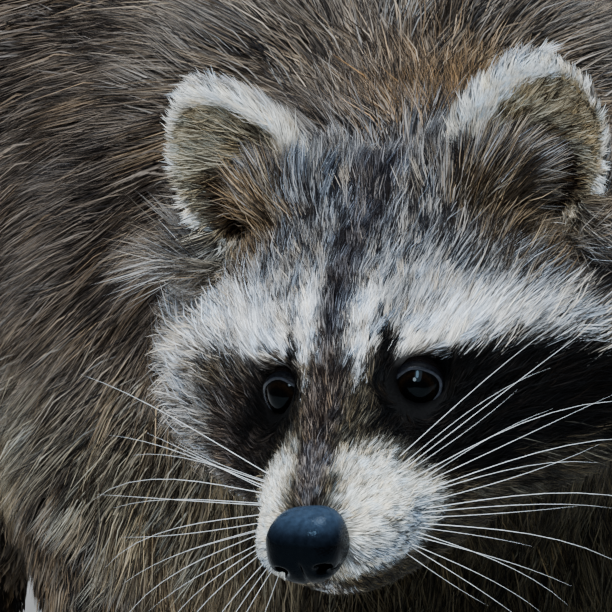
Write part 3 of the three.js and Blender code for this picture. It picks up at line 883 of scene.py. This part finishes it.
lid = Finish("lid")
folds = lid.noise(1500.0, 5.0)
lid.shade(
    Base_Color=lid.ramp(folds, (0.35, (0.001, 0.001, 0.0014)), (0.7, (0.003, 0.003, 0.004))),
    Roughness=lid.stretch(folds, 0.35, 0.6),
    Normal=lid.bump(folds, 0.6, 0.0003),
    Specular_IOR_Level=0.025,
)

wet_rim = Finish("wet_rim")
wet_rim.shade(
    Base_Color=wet_rim.ramp(
        wet_rim.noise(900.0, 3.0), (0.35, (0.004, 0.0045, 0.006)), (0.7, (0.012, 0.014, 0.020))
    ),
    Roughness=0.25,
    Specular_IOR_Level=0.14,
)

for side, name in ((1, "left"), (-1, "right")):
    right, up, ahead = gaze_axes(side)
    centre = np.array(EYE_AT) * (side, 1, 1)
    a = np.arange(LID_AROUND) / LID_AROUND * 2 * math.pi
    wide, high = np.cos(a), np.sin(a)
    half_high = np.where(high > 0, LID_HALF_ABOVE, LID_HALF_BELOW)
    opening = 1 / np.hypot(np.abs(wide) / LID_HALF_WIDTH, np.abs(high) / half_high)
    opening = opening * (1 - 0.06 * np.abs(np.sin(2 * a)) ** 2)
    aside = wide[:, None] * right + high[:, None] * up
    rows = []
    for spread_out, rise in LID_ROWS:
        polar = np.radians(opening + spread_out)[:, None]
        direction = np.sin(polar) * aside + np.cos(polar) * ahead
        rows.append(from_head(centre + direction * (EYE_RADIUS - LID_SHRINK + rise)))
    faces = grid_faces(len(rows), LID_AROUND)
    lids = shell(f"lids_{name}", np.concatenate(rows), faces, lid, from_head(centre))
    lids.materials.append(wet_rim.material)
    for k in range(LID_AROUND * WET_ROWS):
        lids.polygons[k].material_index = 1
    as_piece(f"lids_{name}", lids, "hide")

# ---------------------------------------------------------------------------
# The nose pad: bare, wet black skin with fine pebbles, a groove down its
# middle and a comma-shaped nostril on each side.
PAD_AT = (0, -56, -25)
PAD_HALF = (11.3, 10.6, 10.6)
PAD_ROWS, PAD_AROUND = 64, 88
PAD_SQUARE = 2.9
NOSTRIL_AT = (6.4, -3.4)
NOSTRIL_RADIUS = 2.0
NOSTRIL_DEEP = 5.5
SLIT_DEEP = 2.2
GROOVE_DEEP = 0.9
WING_SWELL = 0.9
# The pad's top carries a painted bluish sheen in its colour, standing in for the sky's reflection; it comes
# in over this height.
PAINTED_SHEEN_HEIGHT = 0.009

nose_skin = Finish("nose_skin")
pad_middle = float(from_head(PAD_AT)[2] * MM)
pebbles = nose_skin.node("TexVoronoi", Scale=1500.0, Vector=nose_skin.place)
veins = nose_skin.noise(500.0, 5.0)
height = nose_skin.node(
    "MapRange",
    From_Min=pad_middle,
    From_Max=pad_middle + PAINTED_SHEEN_HEIGHT,
    Value=nose_skin.node("SeparateXYZ", Vector=nose_skin.place).outputs["Z"],
)
# Painted reflection: black low on the pad, bluish grey towards its top.
painted_sheen = nose_skin.ramp(
    height.outputs["Result"],
    (0.2, (0.0008, 0.0008, 0.0010)),
    (0.55, (0.004, 0.006, 0.010)),
    (1.0, (0.015, 0.025, 0.042)),
)
nose_skin.shade(
    Base_Color=nose_skin.scaled(painted_sheen, nose_skin.stretch(veins, 0.7, 1.3)),
    Roughness=nose_skin.stretch(veins, 0.12, 0.22),
    Normal=nose_skin.bump(pebbles.outputs["Distance"], 0.3, 0.0002),
    Specular_IOR_Level=0.035,
    Specular_Tint=(0.42, 0.70, 1.0, 1),
)

p, a, faces = ball_grid(PAD_ROWS, PAD_AROUND)
shape = np.stack([np.sin(p) * np.cos(a), -np.cos(p), np.sin(p) * np.sin(a)], 1)
plump = (np.abs(shape) ** PAD_SQUARE).sum(1) ** (-1 / PAD_SQUARE)
pad = shape * plump[:, None] * np.array(PAD_HALF)
below = np.clip(-pad[:, 2] / PAD_HALF[2], 0, 1)
pad[:, 0] *= 1 - 0.30 * below**1.6
pad[:, 1] += 2.2 * below**2
front = soft_step(-shape[:, 1], 0.0, 0.45)
nx, nz = np.abs(pad[:, 0]) - NOSTRIL_AT[0], pad[:, 2] - NOSTRIL_AT[1]
bore = np.exp(-((nx / NOSTRIL_RADIUS) ** 2 + (nz / (NOSTRIL_RADIUS * 0.85)) ** 2) ** 1.6)
tail_gap = np.hypot((nx - 3.4) / 3.6, (nz + 2.2 + 0.25 * nx) / 1.1)
slit = np.exp(-(tail_gap**2) ** 1.4)
groove = np.exp(-((pad[:, 0] / 0.9) ** 2)) * soft_step(-pad[:, 2], -1, 3)
pad[:, 1] += front * (NOSTRIL_DEEP * bore + GROOVE_DEEP * groove)
pad += (-shape) * (SLIT_DEEP * slit * soft_step(-shape[:, 1], -0.2, 0.2))[:, None]
wing = np.exp(-(((nx - 0.6) / 4.2) ** 2 + ((nz - 3.0) / 3.0) ** 2))
pad[:, 1] -= WING_SWELL * front * wing
nose_pad = shell("nose_pad", from_head(pad + np.array(PAD_AT)), faces, nose_skin)
as_piece("nose_pad", nose_pad, "nose_skin", "nose")

# ---------------------------------------------------------------------------
# The claws stay as the solids shape them: dark horn with fine, paler
# ridges.
horn = Finish("claw_horn")
ridges = horn.noise(350.0, 4.0)
horn.shade(
    Base_Color=horn.ramp(ridges, (0.3, (0.030, 0.024, 0.018)), (0.7, (0.11, 0.09, 0.07))),
    Normal=horn.bump(ridges, 0.4, 0.0002),
    Roughness=0.32,
)
for name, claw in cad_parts.items():
    if name.startswith("claw_"):
        claw.data.materials.clear()
        claw.data.materials.append(horn.material)

# ---------------------------------------------------------------------------
# The coat: every hair is a thin blade that leaves the skin, leans over with
# the lie of the coat and ends in a point. Neighbours draw together in locks.
fur = Finish("coat")
hair_tint = fur.node("Attribute", attribute_name="hair_tint").outputs["Color"]
fur.shade(
    Base_Color=fur.scaled(hair_tint, fur.stretch(fur.noise(700.0, 2.0), 0.88, 1.12)),
    Roughness=0.55,
    Specular_IOR_Level=0.03,
)

tri_corner = skin_at[skin_tris]
tri_sides = tri_corner[:, 1:] - tri_corner[:, :1]
tri_area = np.linalg.norm(np.cross(tri_sides[:, 0], tri_sides[:, 1]), axis=1) / 2

# The hair that faces the lens is fine and dense. Elsewhere fewer and broader blades cover the skin.
BROADER_UNSEEN = 0.9
FEWER_UNSEEN = 0.30
VIEW_EDGE = (-VIEW_WIDTH / 2 - 28, -VIEW_WIDTH / 2 - 8)
FACING_LENS = (-0.45, -0.05)
FRONT_HALF = (40, 90)
CLEAR_OF_HAIR = 3
from_aim = skin_at - looked_at
shrink = CAMERA_DISTANCE / (CAMERA_DISTANCE - from_aim @ view_back)
off_axis = np.maximum(np.abs(from_aim @ view_right), np.abs(from_aim @ view_up)) * shrink
in_view = soft_step(-off_axis, *VIEW_EDGE) * soft_step(smooth_normal @ view_back, *FACING_LENS)
in_view = in_view * soft_step(-skin_at[:, 1], *FRONT_HALF)
skin_tree = BVHTree.FromPolygons([Vector(v) for v in skin_at], skin_tris.tolist())
for i in np.nonzero(in_view > 0)[0]:
    start = skin_at[i] + smooth_normal[i] * (coat_depth[i] + CLEAR_OF_HAIR)
    if skin_tree.ray_cast(Vector(start), Vector(camera_at - start))[0] is not None:
        in_view[i] = 0
in_view = spread(in_view, 6)

# Places along a hair, and its width at them as a share of its full width.
STATIONS = np.array([0, 0.55, 1])
BLADE = np.interp(STATIONS, [0, 0.3, 0.75, 1], [0.75, 1.0, 0.7, 0])
# A hair starts out steeper than its mean lean and ends flatter.
LEAN_AT_ROOT, LEAN_AT_TIP = 1.25, 0.65
FLATTEST, STEEPEST = 0.10, 0.85
SWAY = 0.16
BOW = 0.10
LEAST_HEIGHT = 0.5
# What varies from hair to hair or lock to lock, as the least share and what chance adds to it.
OWN_LENGTH, LOCK_LENGTH = (0.72, 0.5), (0.85, 0.3)
OWN_LEAN, OWN_WIDTH, OWN_SHADE = (0.75, 0.5), (0.75, 0.5), (0.82, 0.36)
# A few hairs stand clear of the rest.
STRAY_HAIRS = 0.07
STRAY_LEAN = (0.1, 0.4)
# Where two marks meet, their hairs mix over this share of their length, and less on the tail.
MARK_BLEND = 0.22
TAIL_CRISP = 0.85
# A hair takes its light or dark form by its own luck, its lock's and the patch it stands in.
OWN_LUCK, LOCK_LUCK = 0.55, 0.45
LIGHT_FROM = (-0.25, 0.32)
# Some locks are browner, some greyer.
WARM_LOCKS = 0.07
# Of the grizzled hairs, these shares have a dark tip on a pale hair and a pale tip on a dark one.
DARK_TIPS, PALE_TIPS = 0.6, 0.22
TIP_DARKER, TIP_PALER = 0.75, 0.85
GRIZZLED_LIFT = 0.14
TIP_FROM = 0.4
# How much of its colour a hair shows from its shaded root to its tip.
ROOT_SHADE = np.interp(STATIONS, [0, 0.5, 1], [0.32, 0.92, 1.0])
LARGEST_PATCH = 0.003


def unwrap_cells(angle, along):
    """Each root's own cell of a map of the skin: columns by angle round the part, rows along it."""
    count = len(angle)
    columns = max(int(math.sqrt(count)), 1)
    rank = np.empty(count, int)
    rank[np.argsort(angle, kind="stable")] = np.arange(count)
    column = rank * columns // count
    order = np.lexsort((along, column))
    start = np.searchsorted(column[order], np.arange(columns))
    size = np.bincount(column, minlength=columns)
    row = np.empty(count)
    row[order] = (np.arange(count) - start[column[order]] + 0.5) / size[column[order]]
    return np.stack([(column + 0.5) / columns, row], 1), 1 / columns


def grow_coat(name, on_skin, per_mm2, width, seed, lock, clump, slot="coat"):
    """One piece of the coat, grown from the skin's triangles where on_skin is above zero."""
    chance = np.random.default_rng(seed)
    crowd = FEWER_UNSEEN + (1 - FEWER_UNSEEN) * in_view
    weight = tri_area * (on_skin * crowd)[skin_tris].mean(1) * per_mm2
    count = int(weight.sum())
    edges = np.cumsum(weight)
    tri = np.minimum(np.searchsorted(edges, chance.random(count) * edges[-1]), len(tri_area) - 1)
    a, b = chance.random((2, count))
    fold = a + b > 1
    a[fold], b[fold] = 1 - a[fold], 1 - b[fold]
    share = np.stack([1 - a - b, a, b], 1)

    def at_root(field):
        return np.einsum("nk,nk...->n...", share, field[skin_tris[tri]])

    def varied(least, more):
        return least + more * chance.random(count)

    root = at_root(skin_at)
    normal = unit(at_root(smooth_normal))
    flow = along_skin(at_root(lie), normal)
    length = at_root(length_of)
    depth = at_root(coat_depth)

    # Locks: each hair belongs to the nearest of the lock's leaders.
    leaders = chance.permutation(count)[: max(int(count / max(per_mm2 * lock * lock, 1.0)), 1)]
    tree = KDTree(len(leaders))
    for i, k in enumerate(leaders):
        tree.insert(root[k], i)
    tree.balance()
    lock_of = np.array([tree.find(p)[1] for p in root])
    leader = leaders[lock_of]
    lock_luck = chance.random(len(leaders))[lock_of]
    lock_turn = chance.normal(0, SWAY, len(leaders))[lock_of]
    luck = chance.random(count)

    side = np.cross(normal, flow)
    turn = lock_turn + chance.normal(0, SWAY * 0.7, count)
    flow = flow * np.cos(turn)[:, None] + side * np.sin(turn)[:, None]
    side = np.cross(normal, flow)
    length = length * varied(*OWN_LENGTH) * (LOCK_LENGTH[0] + LOCK_LENGTH[1] * lock_luck)
    steepness = np.clip(depth / np.maximum(length, 1e-6), FLATTEST, STEEPEST)
    mean_lean = np.arcsin(steepness) * varied(*OWN_LEAN)
    stray = chance.random(count) < STRAY_HAIRS
    mean_lean = mean_lean + stray * chance.uniform(*STRAY_LEAN, count) + at_root(stand_up)
    bow = chance.normal(0, BOW, count)

    rings = [root]
    for s0, s1 in zip(STATIONS[:-1], STATIONS[1:]):
        mid = (s0 + s1) / 2
        angle = mean_lean * (LEAN_AT_ROOT + (LEAN_AT_TIP - LEAN_AT_ROOT) * mid * 2)
        step = np.cos(angle)[:, None] * flow + np.sin(angle)[:, None] * normal
        step = step + (bow * 2 * mid)[:, None] * side
        rings.append(rings[-1] + step * (length * (s1 - s0))[:, None])
    rings = np.stack(rings, 1)
    rings = rings + (rings[leader] - rings) * (clump * STATIONS**1.3)[None, :, None]
    rings[:, :, 2] = np.maximum(rings[:, :, 2], LEAST_HEIGHT)

    # Two corners to each ring but the last, which is the hair's point.
    spine = unit(np.diff(rings, axis=1))
    spine = np.concatenate([spine, spine[:, -1:]], 1)
    across = unit(np.cross(spine, normal[:, None]))
    roll = chance.uniform(-1.0, 1.0, count)[:, None, None]
    across = across * np.cos(roll) + np.cross(spine, across) * np.sin(roll)
    half = width * varied(*OWN_WIDTH) * (1 + BROADER_UNSEEN * (1 - at_root(in_view)))
    half = half[:, None, None] / 2 * BLADE[None, :, None]
    left, right = rings - across * half, rings + across * half
    pairs = len(STATIONS) - 1
    sides = np.stack([left[:, :pairs], right[:, :pairs]], 2).reshape(count, -1, 3)
    corners = np.concatenate([sides, rings[:, -1:]], 1)

    # Colours: dark at the root, then the hair's own shade, then its tip.
    part = {key: at_root(value) for key, value in skin_part.items()}
    blend = MARK_BLEND * (1 - TAIL_CRISP * part["tail"])
    reach = length * (0.45 + blend * chance.normal(0, 1, count))
    seen_at = root + flow * reach[:, None] + normal * (depth * 0.6)[:, None]
    seen_at = seen_at + side * (length * blend * 0.6 * chance.normal(0, 1, count))[:, None]
    dark, light, pale_share = coat_colours(seen_at, part)
    patches = (0.18 * mottle(root, 9.0) + 0.12 * mottle(root, 30.0, 3.3)) * (1 - 0.65 * part["head"])
    pick = OWN_LUCK * luck + LOCK_LUCK * lock_luck + patches
    own = soft_step(pick - (1 - pale_share), *LIGHT_FROM)[:, None]
    shade = dark + (light - dark) * own
    warm = WARM_LOCKS * np.clip(lock_turn / SWAY, -2, 2)[:, None]
    shade = shade * varied(*OWN_SHADE)[:, None] * (1 + warm * (1, 0, -1.4))
    kind = chance.random(count)
    grizzled = part["body"] * (1 - soft_step(pale_share, 0.52, 0.62))
    shade = shade * (1 + GRIZZLED_LIFT * grizzled)[:, None]
    tip_shade = shade * (1 - TIP_DARKER * grizzled * (kind < DARK_TIPS))[:, None]
    pale_tip = grizzled * (kind > 1 - PALE_TIPS) * (own[:, 0] < 0.4)
    tip_shade = tip_shade + (TIP_PALER * light - tip_shade) * pale_tip[:, None]
    tints = [
        (shade + (tip_shade - shade) * max(s - TIP_FROM, 0) / (1 - TIP_FROM)) * root_shade
        for s, root_shade in zip(STATIONS, ROOT_SHADE)
    ]
    tints = np.stack(tints, 1)
    tints = np.concatenate([np.repeat(tints[:, :pairs], 2, axis=1), tints[:, -1:]], 1)

    per_hair = 2 * pairs + 1
    quads = [(2 * i, 2 * i + 1, 2 * i + 3, 2 * i + 2) for i in range(pairs - 1)]
    shape = [i for quad in quads for i in quad] + [2 * pairs - 2, 2 * pairs - 1, 2 * pairs]
    loops = (np.array(shape)[None] + per_hair * np.arange(count)[:, None]).ravel()
    starts = np.array([4 * i for i in range(pairs)])
    starts = (starts[None] + len(shape) * np.arange(count)[:, None]).ravel()
    mesh = bpy.data.meshes.new(name)
    mesh.vertices.add(count * per_hair)
    mesh.vertices.foreach_set("co", (corners * MM).astype(np.float32).ravel())
    mesh.loops.add(len(loops))
    mesh.loops.foreach_set("vertex_index", loops.astype(np.int32))
    mesh.polygons.add(len(starts))
    mesh.polygons.foreach_set("loop_start", starts.astype(np.int32))
    mesh.update(calc_edges=True)
    write_tint(mesh, "hair_tint", np.clip(tints, 0, 1).reshape(-1, 3))

    # A map for the bake, with a small patch of its own for each hair.
    local = in_head(root) if on_skin[on_head].sum() > on_skin[~on_head].sum() else root
    centre = local.mean(0)
    cell, cell_size = unwrap_cells(np.arctan2(local[:, 0] - centre[0], local[:, 2] - centre[2]), local[:, 1])
    patch = min(LARGEST_PATCH, 0.9 * cell_size)
    sideways = np.array([-0.5, 0.5] * pairs + [0.0]) * patch
    lengthways = np.append(np.repeat(STATIONS[:-1], 2), 1.0) * patch - patch / 2
    spots = cell[:, None] * (1 - 2 * patch) + patch + np.stack([sideways, lengthways], 1)[None]
    uv = mesh.uv_layers.new(name="OFBake")
    uv.data.foreach_set("uv", spots.reshape(-1, 2)[loops].astype(np.float32).ravel())
    mesh.materials.append(fur.material)
    as_piece(name, mesh, slot)


# The face: the shortest and finest hair, laid back from the nose. Nose pad and lids stay bare.
NOSE_EDGE = 1.2
MUZZLE_END, FACE_END = -14, 26
CROWN_FROM = 2

x, y, z = face.T
from_pad = np.linalg.norm((face - np.array(PAD_AT)) / (np.array(PAD_HALF) + NOSE_EDGE), axis=1)
head_zone = on_head * soft_step(from_pad, 0.98, 1.06) * soft_step(to_lids, 9.5, 11.0) * (1 - ear_zone)
muzzle_zone = head_zone * (y < MUZZLE_END)
mid_face_zone = head_zone * (y >= MUZZLE_END) * (y < FACE_END)
crown_zone = head_zone * (y >= FACE_END) * (z >= CROWN_FROM)
cheek_zone = head_zone * (y >= FACE_END) * (z < CROWN_FROM)
# For each piece: its place, hairs to a square millimetre, a hair's width, seed, a lock's width and how far it
# draws together.
grow_coat("coat_muzzle", muzzle_zone, 7.6, 0.23, 21, 1.4, 0.25, "pale_coat")
grow_coat("coat_face_left", mid_face_zone * (x >= 0), 7.8, 0.235, 22, 2.0, 0.45)
grow_coat("coat_face_right", mid_face_zone * (x < 0), 7.8, 0.235, 23, 2.0, 0.45)
grow_coat("coat_crown", crown_zone, 6.6, 0.26, 24, 2.2, 0.45)
grow_coat("coat_cheeks", cheek_zone, 4.8, 0.30, 25, 2.6, 0.5)
grow_coat("coat_ears", ear_zone, 6.8, 0.21, 26, 1.8, 0.14)

# The long coat of the neck and body, and the plainer hair of the tail, legs and paws.
NECK_END, SHOULDER_END = -226, -116
NECK_PARTING = -14
TOES_FROM = 4

x, y, z = skin_at.T
near_body = on_body * (y < SHOULDER_END)
far_body = on_body * (y >= SHOULDER_END)
neck_zone, shoulder_zone = near_body * (y < NECK_END), near_body * (y >= NECK_END)
grow_coat("coat_neck_left", neck_zone * (x >= NECK_PARTING), 3.2, 0.36, 31, 3.2, 0.55)
grow_coat("coat_neck_right", neck_zone * (x < NECK_PARTING), 3.2, 0.36, 32, 3.2, 0.55)
grow_coat("coat_shoulder_left", shoulder_zone * (x >= NECK_PARTING), 2.1, 0.46, 33, 3.6, 0.55)
grow_coat("coat_shoulder_right", shoulder_zone * (x < NECK_PARTING), 2.1, 0.46, 34, 3.6, 0.55)
grow_coat("coat_flank_left", far_body * (x >= 0), 0.62, 0.80, 35, 6.0, 0.5)
grow_coat("coat_flank_right", far_body * (x < 0), 0.62, 0.80, 36, 6.0, 0.5)
grow_coat("coat_tail", on_tail.astype(float), 1.0, 0.70, 37, 6.0, 0.5, "tail_coat")
grow_coat("coat_legs", on_leg.astype(float), 0.9, 0.6, 38, 4.0, 0.4)
grow_coat("coat_paws", on_paw * (z > TOES_FROM), 2.0, 0.4, 39, 2.0, 0.2, "hide")

# ---------------------------------------------------------------------------
# The whiskers: stiff white hairs in four rows on each side of the muzzle, thick
# at the root and drawn out to a curved point, with a few finer ones between.
WHISKER_THICKNESS = 0.22
WHISKER_SIDES = 6
WHISKER_POINTS = 9
WHISKER_SWEEP = 8
ROOT_DEPTH = 1.5
FINE_END = 0.08
# Each root is looked for from this far out towards the middle. If there is no skin, it stands at the second.
FROM_OUTSIDE, WHEN_MISSED = 40, 18
# Root (y, z) on the pad, then rise and sweep back in degrees, length and curl.
WHISKERS_LEFT = [
    (-22, -16, 33, 16, 72, -14), (-24, -19, 27, 20, 80, -6), (-23, -22, 16, 24, 74, -46),
    (-25, -24, 10, 28, 66, -4), (-24, -26, 4, 30, 76, -34), (-27, -28, -4, 34, 60, 10),
    (-26, -30, -8, 30, 78, -38), (-29, -31, -14, 28, 50, 2), (-28, -33, -20, 26, 70, -36),
    (-31, -35, -30, 22, 52, -14), (-33, -36, -38, 20, 48, -20), (-34, -38, -50, 18, 32, 6),
    (-21, -20, 22, 22, 40, 8), (-30, -33, -24, 26, 38, -10), (-24, -18, 29, 22, 54, -30),
    (-26, -26, 0, 32, 58, -30), (-28, -30, -12, 30, 62, -18), (-30, -34, -34, 22, 54, -28),
    (-32, -37, -46, 16, 46, -10), (-22, -24, 20, 26, 46, -22),
]
WHISKERS_RIGHT = [
    (-24, -18, 27, 18, 74, -22), (-25, -21, 20, 14, 60, -26), (-24, -23, 10, 10, 66, -52),
    (-27, -25, 4, 6, 58, -4), (-26, -28, -4, 2, 62, -44), (-29, -29, -7, 2, 50, 8),
    (-28, -32, -18, 0, 66, -38), (-31, -33, -22, -2, 50, -16), (-30, -35, -32, -4, 60, -36),
    (-33, -36, -40, -6, 50, -18), (-34, -38, -48, -8, 44, -22), (-35, -39, -60, -8, 30, 4),
    (-23, -20, 14, 16, 36, 10), (-29, -31, -12, 2, 34, -8), (-24, -20, 17, 12, 50, -34),
    (-26, -25, 5, 6, 54, -26), (-28, -31, -12, 1, 56, -24), (-30, -34, -27, -2, 54, -30),
    (-33, -37, -45, -6, 42, -12), (-25, -22, 25, 12, 44, -8),
]

bristle = Finish("whisker")
stripe = bristle.noise(300.0, 3.0)
bristle.shade(
    Base_Color=bristle.ramp(stripe, (0.3, (0.55, 0.56, 0.56)), (0.7, (0.80, 0.82, 0.84))),
    Roughness=0.35,
)

lines = bpy.data.curves.new("whisker_lines", "CURVE")
lines.dimensions = "3D"
for side, rows in ((1, WHISKERS_LEFT), (-1, WHISKERS_RIGHT)):
    for y, z, rise, sweep, length, curl in rows:
        start = from_head((side * FROM_OUTSIDE, y, z))
        hit = skin_tree.ray_cast(Vector(start), Vector(-side * head_x))[0]
        root = in_head(np.array(hit if hit else from_head((side * WHEN_MISSED, y, z)))[None])[0]
        place = root - np.array([side * ROOT_DEPTH, 0, 0])
        line = lines.splines.new("POLY")
        line.points.add(WHISKER_POINTS - 1)
        for i in range(WHISKER_POINTS):
            t = i / (WHISKER_POINTS - 1)
            line.points[i].co = (*(from_head(place) * MM), 1)
            line.points[i].radius = ((1 - t) ** 0.7 * (1 - FINE_END) + FINE_END) * (0.5 + length / 150)
            tilt = math.radians(rise + curl * t * t)
            back = math.radians(sweep + WHISKER_SWEEP * t)
            level = math.cos(tilt)
            step = np.array([side * level * math.cos(back), level * math.sin(back), math.sin(tilt)])
            place = place + step * length / (WHISKER_POINTS - 1)
whisker_lines = in_scene("whisker_lines", lines)

tree = bpy.data.node_groups.new("whisker_tubes", "GeometryNodeTree")
tree.is_modifier = True
tree.interface.new_socket("Geometry", in_out="INPUT", socket_type="NodeSocketGeometry")
thickness = tree.interface.new_socket("Thickness", in_out="INPUT", socket_type="NodeSocketFloat")
sides = tree.interface.new_socket("Sides", in_out="INPUT", socket_type="NodeSocketInt")
tree.interface.new_socket("Geometry", in_out="OUTPUT", socket_type="NodeSocketGeometry")
given, result = tree.nodes.new("NodeGroupInput"), tree.nodes.new("NodeGroupOutput")
half = tree.nodes.new("ShaderNodeMath")
ring, taper, tube, plain, painted = (
    tree.nodes.new("GeometryNode" + kind)
    for kind in ("CurvePrimitiveCircle", "InputRadius", "CurveToMesh", "RealizeInstances", "SetMaterial")
)
half.operation = "MULTIPLY"
half.inputs[1].default_value = 0.5
tube.inputs["Fill Caps"].default_value = True
painted.inputs["Material"].default_value = bristle.material
for out, into in (
    (given.outputs["Thickness"], half.inputs[0]),
    (half.outputs[0], ring.inputs["Radius"]),
    (given.outputs["Sides"], ring.inputs["Resolution"]),
    (given.outputs["Geometry"], tube.inputs["Curve"]),
    (ring.outputs["Curve"], tube.inputs["Profile Curve"]),
    (taper.outputs["Radius"], tube.inputs["Scale"]),
    (tube.outputs["Mesh"], plain.inputs["Geometry"]),
    (plain.outputs["Geometry"], painted.inputs["Geometry"]),
    (painted.outputs["Geometry"], result.inputs["Geometry"]),
):
    tree.links.new(out, into)
tubes = whisker_lines.modifiers.new("tubes", "NODES")
tubes.node_group = tree
tubes[thickness.identifier] = WHISKER_THICKNESS * MM
tubes[sides.identifier] = WHISKER_SIDES
bpy.context.view_layer.update()
as_piece("whiskers", finished_mesh(whisker_lines), "whisker")
